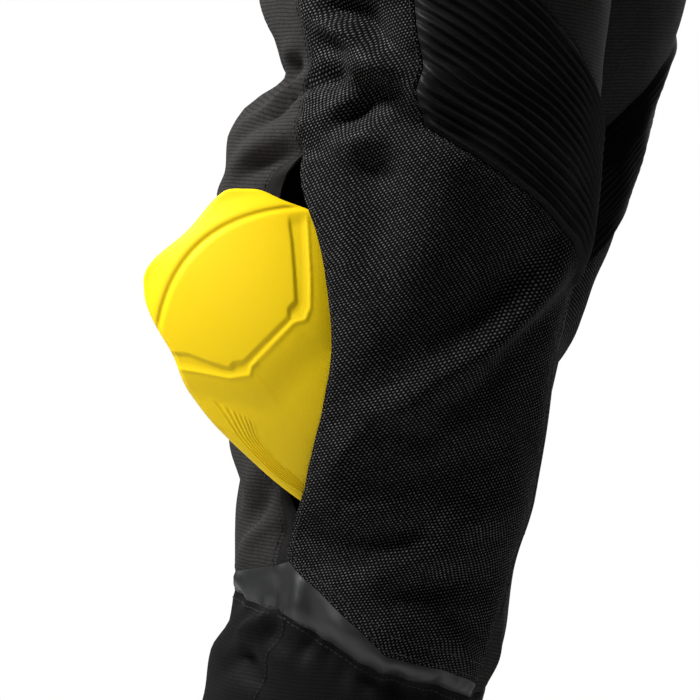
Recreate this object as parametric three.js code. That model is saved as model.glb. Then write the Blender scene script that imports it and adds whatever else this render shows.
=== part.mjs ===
// Motorcycle trousers on a striding figure, with a knee pad half out of its pocket.
// Millimetres, +Z up. The wearer faces -Y and the right leg is at -X.
// The origin is the middle of the waist opening.
import * as THREE from 'three';

const CLOTH = 1.6; // wall of a sewn panel
const SEAM_GAP = 0.36; // space left between two panels at a seam
const ON_TOP_GAP = 0.4; // space under a piece that lies on a panel
const CROTCH = -272; // height of the crotch point

// Rows of the ribbed stretch panel above the knee
const RIB_STEPS = 4; // fine rows in each coarse row, so two ribs
const RIB_HEIGHT = 2.4;

// Each half of the garment is an oval section at every height. mid and side are its middle
// and half width away from the centre plane, front and back are where it reaches along Y.
const HIPS = [
  { z: 20, mid: 0, side: 154, front: -120, back: 120 },
  { z: -40, mid: 4, side: 155, front: -121, back: 122 },
  { z: -110, mid: 22, side: 147, front: -125, back: 130 },
  { z: -190, mid: 50, side: 128, front: -129, back: 134 },
  { z: -245, mid: 80, side: 103, front: -130, back: 128 },
  { z: -272, mid: 93, side: 92, front: -130, back: 118 },
];

const RIGHT_LEG = [
  { z: -272, mid: 93, side: 92, front: -130, back: 118 },
  { z: -350, mid: 97, side: 89, front: -135, back: 90 },
  { z: -425, mid: 100, side: 87, front: -134, back: 73 },
  { z: -469, mid: 102, side: 84, front: -129, back: 56 },
  { z: -483, mid: 102, side: 83, front: -129, back: 79 },
  { z: -502, mid: 103, side: 82, front: -129, back: 97 },
  { z: -536, mid: 103, side: 80, front: -127, back: 101 },
  { z: -567, mid: 104, side: 78, front: -122, back: 99 },
  { z: -595, mid: 104, side: 77, front: -112, back: 96 },
  { z: -636, mid: 105, side: 75, front: -103, back: 94 },
  { z: -674, mid: 105, side: 74, front: -97, back: 93 },
  { z: -710, mid: 105, side: 73, front: -91, back: 89 },
  { z: -753, mid: 106, side: 72, front: -77, back: 89 },
  { z: -779, mid: 106, side: 72, front: -73, back: 92 },
  { z: -798, mid: 106, side: 72, front: -68, back: 106 },
  { z: -824, mid: 106, side: 72, front: -57, back: 112 },
  { z: -900, mid: 107, side: 71, front: -39, back: 127 },
  { z: -1060, mid: 109, side: 70, front: -4, back: 152 },
];

const LEFT_LEG = [
  { z: -272, mid: 93, side: 92, front: -130, back: 118 },
  { z: -350, mid: 97, side: 89, front: -101, back: 117 },
  { z: -406, mid: 99, side: 88, front: -90, back: 121 },
  { z: -473, mid: 101, side: 84, front: -65, back: 134 },
  { z: -525, mid: 102, side: 82, front: -49, back: 153 },
  { z: -565, mid: 103, side: 80, front: -34, back: 164 },
  { z: -603, mid: 103, side: 78, front: -14, back: 179 },
  { z: -634, mid: 104, side: 76, front: -1, back: 188 },
  { z: -718, mid: 104, side: 74, front: 27, back: 206 },
  { z: -780, mid: 105, side: 72, front: 46, back: 216 },
  { z: -843, mid: 105, side: 72, front: 62, back: 227 },
  { z: -900, mid: 105, side: 71, front: 76, back: 238 },
  { z: -1060, mid: 106, side: 70, front: 112, back: 268 },
];

// Where the upright seams run, in degrees round a leg: 0 is the front, 90 the outer side
const SEAMS = [
  { z: 20, inner: 24, strip: 64, side: 94 },
  { z: -110, inner: 14, strip: 65, side: 98 },
  { z: -190, inner: -10, strip: 67, side: 102 },
  { z: -262, inner: -52, strip: 70, side: 107 },
  { z: -330, inner: -50, strip: 72, side: 112 },
  { z: -425, inner: -34, strip: 73, side: 115 },
  { z: -470, inner: -28, strip: 71, side: 119 },
  { z: -483, inner: -27, strip: 69, side: 111 },
  { z: -501, inner: -25, strip: 65, side: 104 },
  { z: -530, inner: -23, strip: 65, side: 100 },
  { z: -560, inner: -21, strip: 65, side: 93 },
  { z: -595, inner: -16, strip: 64, side: 87 },
  { z: -625, inner: -10, strip: 62, side: 84 },
  { z: -655, inner: -12, strip: 60, side: 86 },
  { z: -700, inner: -16, strip: 58, side: 93 },
  { z: -743, inner: -13, strip: 55, side: 102 },
  { z: -785, inner: -1, strip: 54, side: 101 },
  { z: -1060, inner: 0, strip: 52, side: 98 },
];

// The lines across the leg, as heights where they cross the upright seams. Cells is how many
// rows of the grid follow below the line. Inseam and rear are the two edges of a half.
const LINES = [
  { name: 'waist', cells: 1, inseam: -8, inner: -7, strip: -3, side: 0, calf: 4, rear: 8 },
  { name: 'band', cells: 6, inseam: -46, inner: -45, strip: -41, side: -38, calf: -34, rear: -30 },
  { name: 'crotch', cells: 5, inseam: -272, inner: -262, strip: -242, side: -246, calf: -256, rear: -272 },
  { name: 'ribsTop', cells: 8, inseam: -455, inner: -503, strip: -385, side: -396, calf: -425, rear: -455 },
  { name: 'ribsEnd', cells: 13, inseam: -585, inner: -592, strip: -501, side: -515, calf: -545, rear: -585 },
  { name: 'kneeEnd', cells: 1, inseam: -790, inner: -814, strip: -794, side: -743, calf: -753, rear: -790 },
  { name: 'calfEnd', cells: 6, inseam: -802, inner: -822, strip: -806, side: -773, calf: -763, rear: -802 },
  { name: 'hem', cells: 0, inseam: -1040, inner: -1036, strip: -1036, side: -1040, calf: -1046, rear: -1040 },
];

// Columns of the grid at the upright seams. facing is the far edge of the pocket facing.
const COLUMN = { inseam: 0, inner: 3, strip: 10, side: 14, facing: 15, calf: 18, rear: 26 };

// The pocket slit at the outer side of the right knee, and the knee panel standing off it.
// Its rear edge lies back by spread degrees, and meets the panel again below the pad.
const SLIT = {
  top: -515, end: -743, spread: 27, meets: [-728, -690], facing: 6, lift: 16, reach: 48,
};

// The largest folds, as soft troughs, or ridges where depth is negative. Angle and height give
// the middle, lean the direction in degrees from level, length and width the half sizes in mm.
const FOLDS = [
  { legs: 'right', angle: 84, z: -432, lean: 12, length: 34, width: 9, depth: 4 },
  { legs: 'right', angle: 80, z: -468, lean: -8, length: 30, width: 9, depth: 4 },
  { legs: 'right', angle: 62, z: -500, lean: 10, length: 26, width: 9, depth: 4 },
  { legs: 'right', angle: 10, z: -660, lean: 52, length: 70, width: 16, depth: 3 },
  { legs: 'right', angle: 58, z: -745, lean: 12, length: 50, width: 11, depth: 4 },
  { legs: 'right', angle: 135, z: -480, lean: 20, length: 40, width: 12, depth: 4 },
  { legs: 'right', angle: 120, z: -800, lean: -25, length: 50, width: 12, depth: 4 },
  { legs: 'both', angle: 150, z: -860, lean: 18, length: 55, width: 14, depth: 4 },
  { legs: 'both', angle: 30, z: -880, lean: -12, length: 50, width: 14, depth: 4 },
  { legs: 'both', angle: 80, z: -930, lean: 16, length: 55, width: 16, depth: 4 },
  { legs: 'both', angle: 20, z: -330, lean: 22, length: 60, width: 16, depth: 4 },
  { legs: 'both', angle: 195, z: -330, lean: -24, length: 70, width: 16, depth: 5 },
  { legs: 'left', angle: 190, z: -500, lean: 5, length: 70, width: 14, depth: 5 },
  { legs: 'left', angle: 80, z: -560, lean: 30, length: 50, width: 16, depth: 4 },
];

// The knee pad is a cup that faces half forward and half outward, turned so that its length
// runs down and forward at 45 degrees. Along is measured from its upper end.
const PAD = {
  facing: 60, // degrees from straight ahead toward the outer side
  level: -163.8, // place of its upper end, across the direction that it faces
  top: -561.2, // height of the middle of its upper end
  depth: 177.1, // how far its crown stands out from the centre line
  crown: 90, // along, where it stands out most
  lengthRadius: 300,
  nearRadius: 85, // bend round its length, on the upper forward side
  farRadius: 110, // bend on the lower rear side
  foam: 11,
  edge: 4,
  taper: 16, // width over which the foam thins to its edge
  across: 16,
  rows: 24,
};

// Outline of the pad: near is the upper forward side, far the lower rear side
const PAD_OUTLINE = [
  { along: -4, far: -26, near: 30 },
  { along: 3, far: -36, near: 41 },
  { along: 11, far: -42, near: 48 },
  { along: 24, far: -47, near: 53 },
  { along: 40, far: -51, near: 60 },
  { along: 63, far: -60, near: 65 },
  { along: 90, far: -63, near: 67 },
  { along: 124, far: -62, near: 66 },
  { along: 150, far: -59, near: 62 },
  { along: 185, far: -50, near: 53 },
  { along: 215, far: -38, near: 41 },
  { along: 231, far: -26, near: 28 },
];

// The raised cap on the pad: an arc above, a level lower edge and two sloped sides
const CAP = { middle: -8, arcTop: 9, arcRadius: 68, lowerEdge: 76, halfEdge: 20, sideSlope: 0.85, rise: 3, bevel: 7 };

const SNAP = { radius: 8.5, height: 3, z: -26 };
const FLAP = { columns: 2, rows: 4 };

const COLOURS = {
  canvas: { color: 0x2b2a28, roughness: 0.85 },
  coarseWeave: { color: 0x1b1c1e, roughness: 0.62 },
  stretch: { color: 0x121214, roughness: 0.9 },
  satin: { color: 0x34353a, roughness: 0.5 },
  tape: { color: 0x24221f, roughness: 0.7 },
  foam: { color: 0xfade1c, roughness: 0.6 },
  metal: { color: 0x8b8d90, roughness: 0.35, metalness: 0.9 },
};

const radians = THREE.MathUtils.degToRad;
const clamp = THREE.MathUtils.clamp;

// Value of one column of a table at a place, on a smooth curve that never overshoots its rows
function along(table, column, place, key = 'z') {
  const down = table[0][key] > table[1][key];
  const rows = down ? [...table].reverse() : table;
  const x = clamp(place, rows[0][key], rows[rows.length - 1][key]);
  let k = 0;
  while (k < rows.length - 2 && x > rows[k + 1][key]) k += 1;
  const slope = (i) => (rows[i + 1][column] - rows[i][column]) / (rows[i + 1][key] - rows[i][key]);
  const tangent = (i) => {
    if (i === 0) return slope(0);
    if (i === rows.length - 1) return slope(i - 1);
    const before = slope(i - 1);
    const after = slope(i);
    return before * after <= 0 ? 0 : (2 * before * after) / (before + after);
  };
  const span = rows[k + 1][key] - rows[k][key];
  const t = (x - rows[k][key]) / span;
  const rest = 1 - t;
  return rows[k][column] * rest * rest * (1 + 2 * t) + rows[k + 1][column] * t * t * (3 - 2 * t)
    + span * t * rest * (tangent(k) * rest - tangent(k + 1) * t);
}

// Half of the garment. Drop scales the heights below the crotch, for a leg that leans.
class Leg {
  constructor(name, sign, rows, drop, slit) {
    this.name = name;
    this.sign = sign;
    this.rows = rows;
    this.drop = drop;
    this.slit = slit;
    this.folds = FOLDS.filter((fold) => fold.legs === 'both' || fold.legs === name);
  }

  // Real height of a point given by its height on the cut pattern
  height(z) {
    return z >= CROTCH ? z : CROTCH + (z - CROTCH) * this.drop;
  }

  oval(z) {
    const table = z >= CROTCH ? HIPS : this.rows;
    const at = (column) => along(table, column, this.height(z));
    const front = at('front');
    const back = at('back');
    return { mid: at('mid'), side: at('side'), y: (front + back) / 2, reach: (back - front) / 2 };
  }

  bare(angle, z) {
    const oval = this.oval(z);
    const turn = radians(angle);
    const x = this.sign * (oval.mid + oval.side * Math.sin(turn));
    return new THREE.Vector3(x, oval.y - oval.reach * Math.cos(turn), this.height(z));
  }

  normal(angle, z) {
    const step = 0.5;
    const round = this.bare(angle + step, z).sub(this.bare(angle - step, z));
    const down = this.bare(angle, z - step).sub(this.bare(angle, z + step));
    return round.cross(down).multiplyScalar(-this.sign).normalize();
  }

  foldDepth(angle, z) {
    const roundMm = radians(1) * 85; // mm of cloth in a degree
    let depth = 0;
    for (const fold of this.folds) {
      const across = (angle - fold.angle) * roundMm;
      const up = z - fold.z;
      const lean = radians(fold.lean);
      const u = (across * Math.cos(lean) + up * Math.sin(lean)) / fold.length;
      const v = (up * Math.cos(lean) - across * Math.sin(lean)) / fold.width;
      depth += fold.depth * Math.exp(-u * u - v * v);
    }
    return depth;
  }

  // 0 at both ends of the pocket slit, 1 at its middle
  slitShare(z) {
    if (!this.slit) return 0;
    const share = clamp((z - SLIT.top) / (SLIT.end - SLIT.top), 0, 1);
    return Math.sin(Math.PI * share) ** 0.7;
  }

  // Degrees that the rear edge of the slit lies back
  opening(z) {
    return SLIT.spread * this.slitShare(z) * THREE.MathUtils.smoothstep(z, ...SLIT.meets);
  }

  edgeAngle(z) {
    return Math.asin(Math.min(1, this.oval(z).mid / this.oval(z).side)) * THREE.MathUtils.RAD2DEG;
  }

  columnAngle(i, z, rear) {
    const seam = (column) => along(SEAMS, column, z);
    const opened = seam('side') + (rear ? this.opening(z) : 0);
    const stops = [
      [COLUMN.inseam, -this.edgeAngle(z)],
      [COLUMN.inner, seam('inner')],
      [COLUMN.strip, seam('strip')],
      [COLUMN.side, opened],
      [COLUMN.facing, opened + SLIT.facing],
      [COLUMN.rear, 180 + this.edgeAngle(z)],
    ];
    return between(stops, i);
  }

  lineHeight(line, i) {
    const stops = ['inseam', 'inner', 'strip', 'side', 'calf', 'rear'].map((key) => [COLUMN[key], line[key]]);
    return between(stops, i);
  }

  rowHeight(i, j) {
    let first = 0;
    let k = 0;
    while (k < LINES.length - 2 && j > first + LINES[k].cells) {
      first += LINES[k].cells;
      k += 1;
    }
    const share = (j - first) / LINES[k].cells;
    return THREE.MathUtils.lerp(this.lineHeight(LINES[k], i), this.lineHeight(LINES[k + 1], i), share);
  }

  // Grid point with its outward direction. Rear pieces follow the far side of the slit, and
  // pieces that stand off the leg there rise toward it.
  point(i, j, { rear = false, stands = false } = {}) {
    const z = this.rowHeight(i, j);
    const angle = this.columnAngle(i, z, rear);
    const normal = this.normal(angle, z);
    let rise = -this.foldDepth(angle, z);
    if (stands) {
      const away = clamp((along(SEAMS, 'side', z) - angle) / SLIT.reach, 0, 1);
      rise += SLIT.lift * this.slitShare(z) * (1 - away) ** 2 * (1 + 2 * away);
    }
    return { at: this.bare(angle, z).addScaledVector(normal, rise), normal };
  }
}

function between(stops, place) {
  let k = 0;
  while (k < stops.length - 2 && place > stops[k + 1][0]) k += 1;
  const [from, low] = stops[k];
  const [to, high] = stops[k + 1];
  return THREE.MathUtils.lerp(low, high, (place - from) / (to - from));
}

// First grid row of each line
const ROW = {};
LINES.reduce((row, line) => {
  ROW[line.name] = row;
  return row + line.cells;
}, 0);

function block(fromColumn, toColumn, fromRow, toRow) {
  const cells = [];
  for (let i = fromColumn; i < toColumn; i += 1) {
    for (let j = fromRow; j < toRow; j += 1) cells.push([i, j]);
  }
  return cells;
}

// Moves the points on the outline of a set of cells inward by half the seam gap
function pullFromSeams(cells, points) {
  const edges = new Map();
  const name = (a, b) => (a < b ? `${a} ${b}` : `${b} ${a}`);
  for (const [i, j] of cells) {
    const ring = [`${i},${j}`, `${i + 1},${j}`, `${i + 1},${j + 1}`, `${i},${j + 1}`];
    const centre = ring.reduce((sum, key) => sum.add(points.get(key).at), new THREE.Vector3()).multiplyScalar(0.25);
    ring.forEach((key, k) => {
      const next = ring[(k + 1) % 4];
      const id = name(key, next);
      if (edges.has(id)) edges.set(id, null);
      else edges.set(id, { ends: [key, next], centre });
    });
  }
  const pulls = new Map();
  const rim = [...edges.values()].filter(Boolean);
  for (const { ends, centre } of rim) {
    const [a, b] = ends.map((key) => points.get(key));
    const run = b.at.clone().sub(a.at).normalize();
    const inward = centre.clone().sub(a.at);
    inward.addScaledVector(run, -inward.dot(run));
    inward.addScaledVector(a.normal, -inward.dot(a.normal)).normalize();
    for (const key of ends) pulls.set(key, [...(pulls.get(key) ?? []), inward]);
  }
  const moved = new Map(points);
  for (const [key, [first, second]] of pulls) {
    const miter = first.clone().add(second).divideScalar(Math.max(0.5, 1 + first.dot(second)));
    const { at, normal } = points.get(key);
    moved.set(key, { at: at.clone().addScaledVector(miter, SEAM_GAP / 2), normal });
  }
  return { moved, rim };
}

// Closed wall from outer and inner points: quads over both faces and round the rim
function closedWall(outer, inner, quads, rim) {
  const positions = [...outer, ...inner].flatMap((p) => [p.x, p.y, p.z]);
  const count = outer.length;
  const triangles = [];
  for (const [a, b, c, d] of quads) {
    triangles.push([a, b, c], [a, c, d]);
    triangles.push([a + count, c + count, b + count], [a + count, d + count, c + count]);
  }
  for (const [a, b] of rim) {
    triangles.push([b, a, a + count], [b, a + count, b + count]);
  }
  const corner = (k) => new THREE.Vector3().fromArray(positions, 3 * k);
  const volume = triangles.reduce((sum, [a, b, c]) => sum + corner(a).dot(corner(b).cross(corner(c))), 0);
  if (volume < 0) triangles.forEach((triangle) => triangle.reverse());
  const geometry = new THREE.BufferGeometry();
  geometry.setAttribute('position', new THREE.Float32BufferAttribute(positions, 3));
  geometry.setIndex(triangles.flat());
  geometry.computeVertexNormals();
  return geometry;
}

// A sewn panel over the cells, its outer face rise above the leg's own points
function panel(leg, cells, { rise = 0, ...where } = {}) {
  const points = new Map();
  for (const [i, j] of cells) {
    for (const [p, q] of [[i, j], [i + 1, j], [i, j + 1], [i + 1, j + 1]]) {
      if (!points.has(`${p},${q}`)) points.set(`${p},${q}`, leg.point(p, q, where));
    }
  }
  const { moved, rim } = pullFromSeams(cells, points);
  const order = new Map([...moved.keys()].map((key, k) => [key, k]));
  const outer = [...moved.values()].map(({ at, normal }) => at.clone().addScaledVector(normal, rise));
  const inner = [...moved.values()].map(({ at, normal }) => at.clone().addScaledVector(normal, rise - CLOTH));
  const quads = cells.map(([i, j]) => [`${i},${j}`, `${i + 1},${j}`, `${i + 1},${j + 1}`, `${i},${j + 1}`]
    .map((key) => order.get(key)));
  return closedWall(outer, inner, quads, rim.map(({ ends }) => ends.map((key) => order.get(key))));
}

// The stretch panel: each coarse row is split, and every other fine row stands up as a rib
function ribbedPanel(leg) {
  const cells = block(COLUMN.inner, COLUMN.strip, ROW.ribsTop, ROW.ribsEnd);
  const points = new Map();
  for (let i = COLUMN.inner; i <= COLUMN.strip; i += 1) {
    for (let j = ROW.ribsTop; j <= ROW.ribsEnd; j += 1) points.set(`${i},${j}`, leg.point(i, j));
  }
  const { moved } = pullFromSeams(cells, points);
  const columns = COLUMN.strip - COLUMN.inner;
  const fineRows = (ROW.ribsEnd - ROW.ribsTop) * RIB_STEPS;
  const outer = [];
  const inner = [];
  for (let row = 0; row <= fineRows; row += 1) {
    const j = Math.min(ROW.ribsTop + Math.floor(row / RIB_STEPS), ROW.ribsEnd - 1);
    const share = (row - (j - ROW.ribsTop) * RIB_STEPS) / RIB_STEPS;
    for (let i = 0; i <= columns; i += 1) {
      const above = moved.get(`${i + COLUMN.inner},${j}`);
      const below = moved.get(`${i + COLUMN.inner},${j + 1}`);
      const at = above.at.clone().lerp(below.at, share);
      const normal = above.normal.clone().lerp(below.normal, share).normalize();
      outer.push(at.clone().addScaledVector(normal, row % 2 ? RIB_HEIGHT : 0));
      inner.push(at.clone().addScaledVector(normal, -CLOTH));
    }
  }
  return closedGrid(outer, inner, columns, fineRows);
}

// Closed wall over a plain grid of points, row by row
function closedGrid(outer, inner, columns, rows) {
  const at = (i, j) => j * (columns + 1) + i;
  const quads = block(0, columns, 0, rows).map(([i, j]) => [at(i, j), at(i + 1, j), at(i + 1, j + 1), at(i, j + 1)]);
  const rim = [];
  for (let i = 0; i < columns; i += 1) rim.push([at(i, 0), at(i + 1, 0)], [at(i + 1, rows), at(i, rows)]);
  for (let j = 0; j < rows; j += 1) rim.push([at(columns, j), at(columns, j + 1)], [at(0, j + 1), at(0, j)]);
  return closedWall(outer, inner, quads, rim);
}

// Height of the cap above the foam: 1 well inside its outline, 0 outside
function capShare(across, along0) {
  const u = Math.abs(across - CAP.middle);
  const arcDepth = along0 - (CAP.arcTop + CAP.arcRadius - Math.sqrt(Math.max(0, CAP.arcRadius ** 2 - u * u)));
  const edgeDepth = CAP.lowerEdge - along0 - Math.max(0, u - CAP.halfEdge) * CAP.sideSlope;
  return THREE.MathUtils.smoothstep(Math.min(arcDepth, edgeDepth), 0, CAP.bevel);
}

function kneePad() {
  const facing = radians(PAD.facing);
  const out = new THREE.Vector3(-Math.sin(facing), -Math.cos(facing), 0);
  const level = new THREE.Vector3(Math.cos(facing), -Math.sin(facing), 0);
  const up = new THREE.Vector3(0, 0, 1);
  const forward = level.clone().sub(up).normalize();
  const sideways = level.clone().add(up).normalize();
  const start = level.clone().multiplyScalar(PAD.level).addScaledVector(up, PAD.top);
  const first = PAD_OUTLINE[0].along;
  const last = PAD_OUTLINE[PAD_OUTLINE.length - 1].along;
  const outer = [];
  const inner = [];
  for (let row = 0; row <= PAD.rows; row += 1) {
    const t = THREE.MathUtils.lerp(first, last, row / PAD.rows);
    const far = along(PAD_OUTLINE, 'far', t, 'along');
    const near = along(PAD_OUTLINE, 'near', t, 'along');
    for (let column = 0; column <= PAD.across; column += 1) {
      const s = THREE.MathUtils.lerp(far, near, column / PAD.across);
      const radius = s > 0 ? PAD.nearRadius : PAD.farRadius;
      const cup = PAD.depth - (s * s) / (2 * radius) - (t - PAD.crown) ** 2 / (2 * PAD.lengthRadius);
      const edgeGap = Math.min(s - far, near - s, t - first, last - t);
      const foam = PAD.edge + (PAD.foam - PAD.edge) * THREE.MathUtils.smoothstep(edgeGap, 0, PAD.taper);
      const flat = start.clone().addScaledVector(forward, t).addScaledVector(sideways, s);
      outer.push(flat.clone().addScaledVector(out, cup + CAP.rise * (capShare(s, t) - 1)));
      inner.push(flat.clone().addScaledVector(out, cup - CAP.rise - foam));
    }
  }
  return closedGrid(outer, inner, PAD.across, PAD.rows);
}

// Tab of the waistband across the centre front, made from the band's own points moved out
function waistTab(right, left) {
  const shares = [0.2, 0.8]; // of the band's height
  const columns = [[right, 1], [right, 0], [left, 1]];
  const outer = [];
  const inner = [];
  for (const share of shares) {
    for (const [leg, i] of columns) {
      const { at, normal } = leg.point(i, ROW.waist + share);
      outer.push(at.clone().addScaledVector(normal, ON_TOP_GAP + CLOTH));
      inner.push(at.clone().addScaledVector(normal, ON_TOP_GAP));
    }
  }
  return closedGrid(outer, inner, columns.length - 1, shares.length - 1);
}

function snap(right) {
  const geometry = new THREE.CylinderGeometry(SNAP.radius, SNAP.radius, SNAP.height, 24);
  const mesh = piece('waist_snap', geometry, COLOURS.metal);
  const face = right.point(0, 0.5).at.y - ON_TOP_GAP - CLOTH;
  mesh.position.set(0, face - 2 * ON_TOP_GAP - SNAP.height / 2, SNAP.z);
  return mesh;
}

function piece(name, geometry, finish) {
  const mesh = new THREE.Mesh(geometry, new THREE.MeshStandardMaterial(finish));
  mesh.name = name;
  return mesh;
}

function legPieces(leg) {
  const c = COLUMN;
  const named = (name, geometry, finish) => piece(`${name}_${leg.name}`, geometry, finish);
  return [
    named('waistband', panel(leg, block(c.inseam, c.rear, ROW.waist, ROW.band)), COLOURS.canvas),
    named('front_thigh', panel(leg, [
      ...block(c.inseam, c.strip, ROW.band, ROW.crotch),
      ...block(c.inner, c.strip, ROW.crotch, ROW.ribsTop),
    ]), COLOURS.canvas),
    named('knee_accordion', ribbedPanel(leg), COLOURS.stretch),
    named('knee_panel', panel(leg, [
      ...block(c.strip, c.side, ROW.band, ROW.ribsEnd),
      ...block(c.inner, c.side, ROW.ribsEnd, ROW.kneeEnd),
    ], { stands: leg.slit }), COLOURS.coarseWeave),
    named('inner_leg', panel(leg, block(c.inseam, c.inner, ROW.crotch, ROW.calfEnd)), COLOURS.canvas),
    named('back_leg', panel(leg, [
      ...block(c.side, c.rear, ROW.band, ROW.ribsEnd),
      ...block(c.facing, c.rear, ROW.ribsEnd, ROW.kneeEnd),
      ...block(c.calf, c.rear, ROW.kneeEnd, ROW.calfEnd),
    ], { rear: true }), COLOURS.canvas),
    named('pocket_facing', panel(leg, block(c.side, c.facing, ROW.ribsEnd, ROW.kneeEnd), { rear: true }),
      COLOURS.tape),
    named('calf_band', panel(leg, block(c.inner, c.calf, ROW.kneeEnd, ROW.calfEnd)), COLOURS.satin),
    named('lower_front', panel(leg, block(c.inseam, c.side, ROW.calfEnd, ROW.hem)), COLOURS.canvas),
    named('lower_back', panel(leg, block(c.side, c.rear, ROW.calfEnd, ROW.hem)), COLOURS.canvas),
  ];
}

const rightLeg = new Leg('right', -1, RIGHT_LEG, 1, true);
const leftLeg = new Leg('left', 1, LEFT_LEG, 0.98, false);

const trousers = new THREE.Group();
trousers.add(...legPieces(rightLeg), ...legPieces(leftLeg));
trousers.add(piece('fly_flap', panel(leftLeg, block(0, FLAP.columns, ROW.band, ROW.band + FLAP.rows),
  { rise: ON_TOP_GAP + CLOTH }), COLOURS.canvas));
trousers.add(piece('waist_tab', waistTab(rightLeg, leftLeg), COLOURS.canvas));
trousers.add(snap(rightLeg));
trousers.add(piece('knee_pad', kneePad(), COLOURS.foam));

export default trousers;
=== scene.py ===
"""Motorcycle trousers in a striding pose, with a knee pad half out of its pocket.

The cloth follows the same tables as the solids, in millimetres, and is made finer and creased
here. The wearer faces -Y, the right leg is at -X and the origin is the middle of the waist.
"""
import math

import bpy
import numpy as np
from bpy.props import FloatProperty, FloatVectorProperty, IntProperty, PointerProperty
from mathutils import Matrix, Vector
from mathutils.bvhtree import BVHTree
from mathutils.kdtree import KDTree


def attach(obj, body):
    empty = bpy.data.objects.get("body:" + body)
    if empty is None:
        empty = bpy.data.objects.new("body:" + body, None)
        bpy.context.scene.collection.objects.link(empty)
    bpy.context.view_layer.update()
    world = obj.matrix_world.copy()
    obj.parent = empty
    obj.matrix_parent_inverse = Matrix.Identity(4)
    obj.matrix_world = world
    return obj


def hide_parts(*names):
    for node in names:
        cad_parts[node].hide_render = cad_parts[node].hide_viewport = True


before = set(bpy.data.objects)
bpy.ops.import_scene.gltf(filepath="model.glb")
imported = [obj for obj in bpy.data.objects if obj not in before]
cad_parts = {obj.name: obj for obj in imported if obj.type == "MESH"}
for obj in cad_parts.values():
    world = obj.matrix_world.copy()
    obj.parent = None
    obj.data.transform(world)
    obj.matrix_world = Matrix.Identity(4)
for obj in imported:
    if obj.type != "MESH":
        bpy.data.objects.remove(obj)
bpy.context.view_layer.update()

bl_info = {
    "name": "Motorcycle trousers",
    "version": (1, 0, 0),
    "blender": (4, 5, 0),
    "location": "View3D > Sidebar > Trousers",
    "description": "Creased panels, ribbed stretch panels, foam knee pad and stitching",
    "category": "Object",
}

MM = 0.001
CROTCH = -272

# The two halves are oval sections: height, middle, half width, front and back, in mm
HIPS = [
    (20, 0, 154, -120, 120), (-40, 4, 155, -121, 122), (-110, 22, 147, -125, 130),
    (-190, 50, 128, -129, 134), (-245, 80, 103, -130, 128), (-272, 93, 92, -130, 118),
]
RIGHT_LEG = [
    (-272, 93, 92, -130, 118), (-350, 97, 89, -135, 90), (-425, 100, 87, -134, 73),
    (-469, 102, 84, -129, 56), (-483, 102, 83, -129, 79), (-502, 103, 82, -129, 97),
    (-536, 103, 80, -127, 101), (-567, 104, 78, -122, 99), (-595, 104, 77, -112, 96),
    (-636, 105, 75, -103, 94), (-674, 105, 74, -97, 93), (-710, 105, 73, -91, 89),
    (-753, 106, 72, -77, 89), (-779, 106, 72, -73, 92), (-798, 106, 72, -68, 106),
    (-824, 106, 72, -57, 112), (-900, 107, 71, -39, 127), (-1060, 109, 70, -4, 152),
]
LEFT_LEG = [
    (-272, 93, 92, -130, 118), (-350, 97, 89, -101, 117), (-406, 99, 88, -90, 121),
    (-473, 101, 84, -65, 134), (-525, 102, 82, -49, 153), (-565, 103, 80, -34, 164),
    (-603, 103, 78, -14, 179), (-634, 104, 76, -1, 188), (-718, 104, 74, 27, 206),
    (-780, 105, 72, 46, 216), (-843, 105, 72, 62, 227), (-900, 105, 71, 76, 238),
    (-1060, 106, 70, 112, 268),
]

# Upright seams in degrees round a leg: height, inner front, strip and outer side
SEAMS = [
    (20, 24, 64, 94), (-110, 14, 65, 98), (-190, -10, 67, 102), (-262, -52, 70, 107),
    (-330, -50, 72, 112), (-425, -34, 73, 115), (-470, -28, 71, 119), (-483, -27, 69, 111),
    (-501, -25, 65, 104),
    (-530, -23, 65, 100), (-560, -21, 65, 93), (-595, -16, 64, 87), (-625, -10, 62, 84),
    (-655, -12, 60, 86), (-700, -16, 58, 93), (-743, -13, 55, 102), (-785, -1, 54, 101),
    (-1060, 0, 52, 98),
]

# Lines across the leg: cells below, then heights at the inseam, inner, strip, side, calf and
# rear columns
LINES = {
    "waist": (1, -8, -7, -3, 0, 4, 8),
    "band": (6, -46, -45, -41, -38, -34, -30),
    "crotch": (5, -272, -262, -242, -246, -256, -272),
    "ribs_top": (8, -455, -503, -385, -396, -425, -455),
    "ribs_end": (13, -585, -592, -501, -515, -545, -585),
    "knee_end": (1, -790, -814, -794, -743, -753, -790),
    "calf_end": (6, -802, -822, -806, -773, -763, -802),
    "hem": (0, -1040, -1036, -1036, -1040, -1046, -1040),
}
LINE_COLUMNS = (0, 3, 10, 14, 18, 26)
ANGLE_COLUMNS = (0, 3, 10, 14, 15, 26)
INSEAM, INNER, STRIP, SIDE, FACING, CALF, REAR = 0, 3, 10, 14, 15, 18, 26
ROW = dict(zip(LINES, np.cumsum([0] + [line[0] for line in LINES.values()][:-1]).tolist()))

# The pocket slit: top and end, opening and facing in degrees, how far the knee panel lifts
SLIT = {"top": -515, "end": -743, "spread": 27, "meets": (-728, -690), "facing": 6, "lift": 16,
        "reach": 48}

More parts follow.
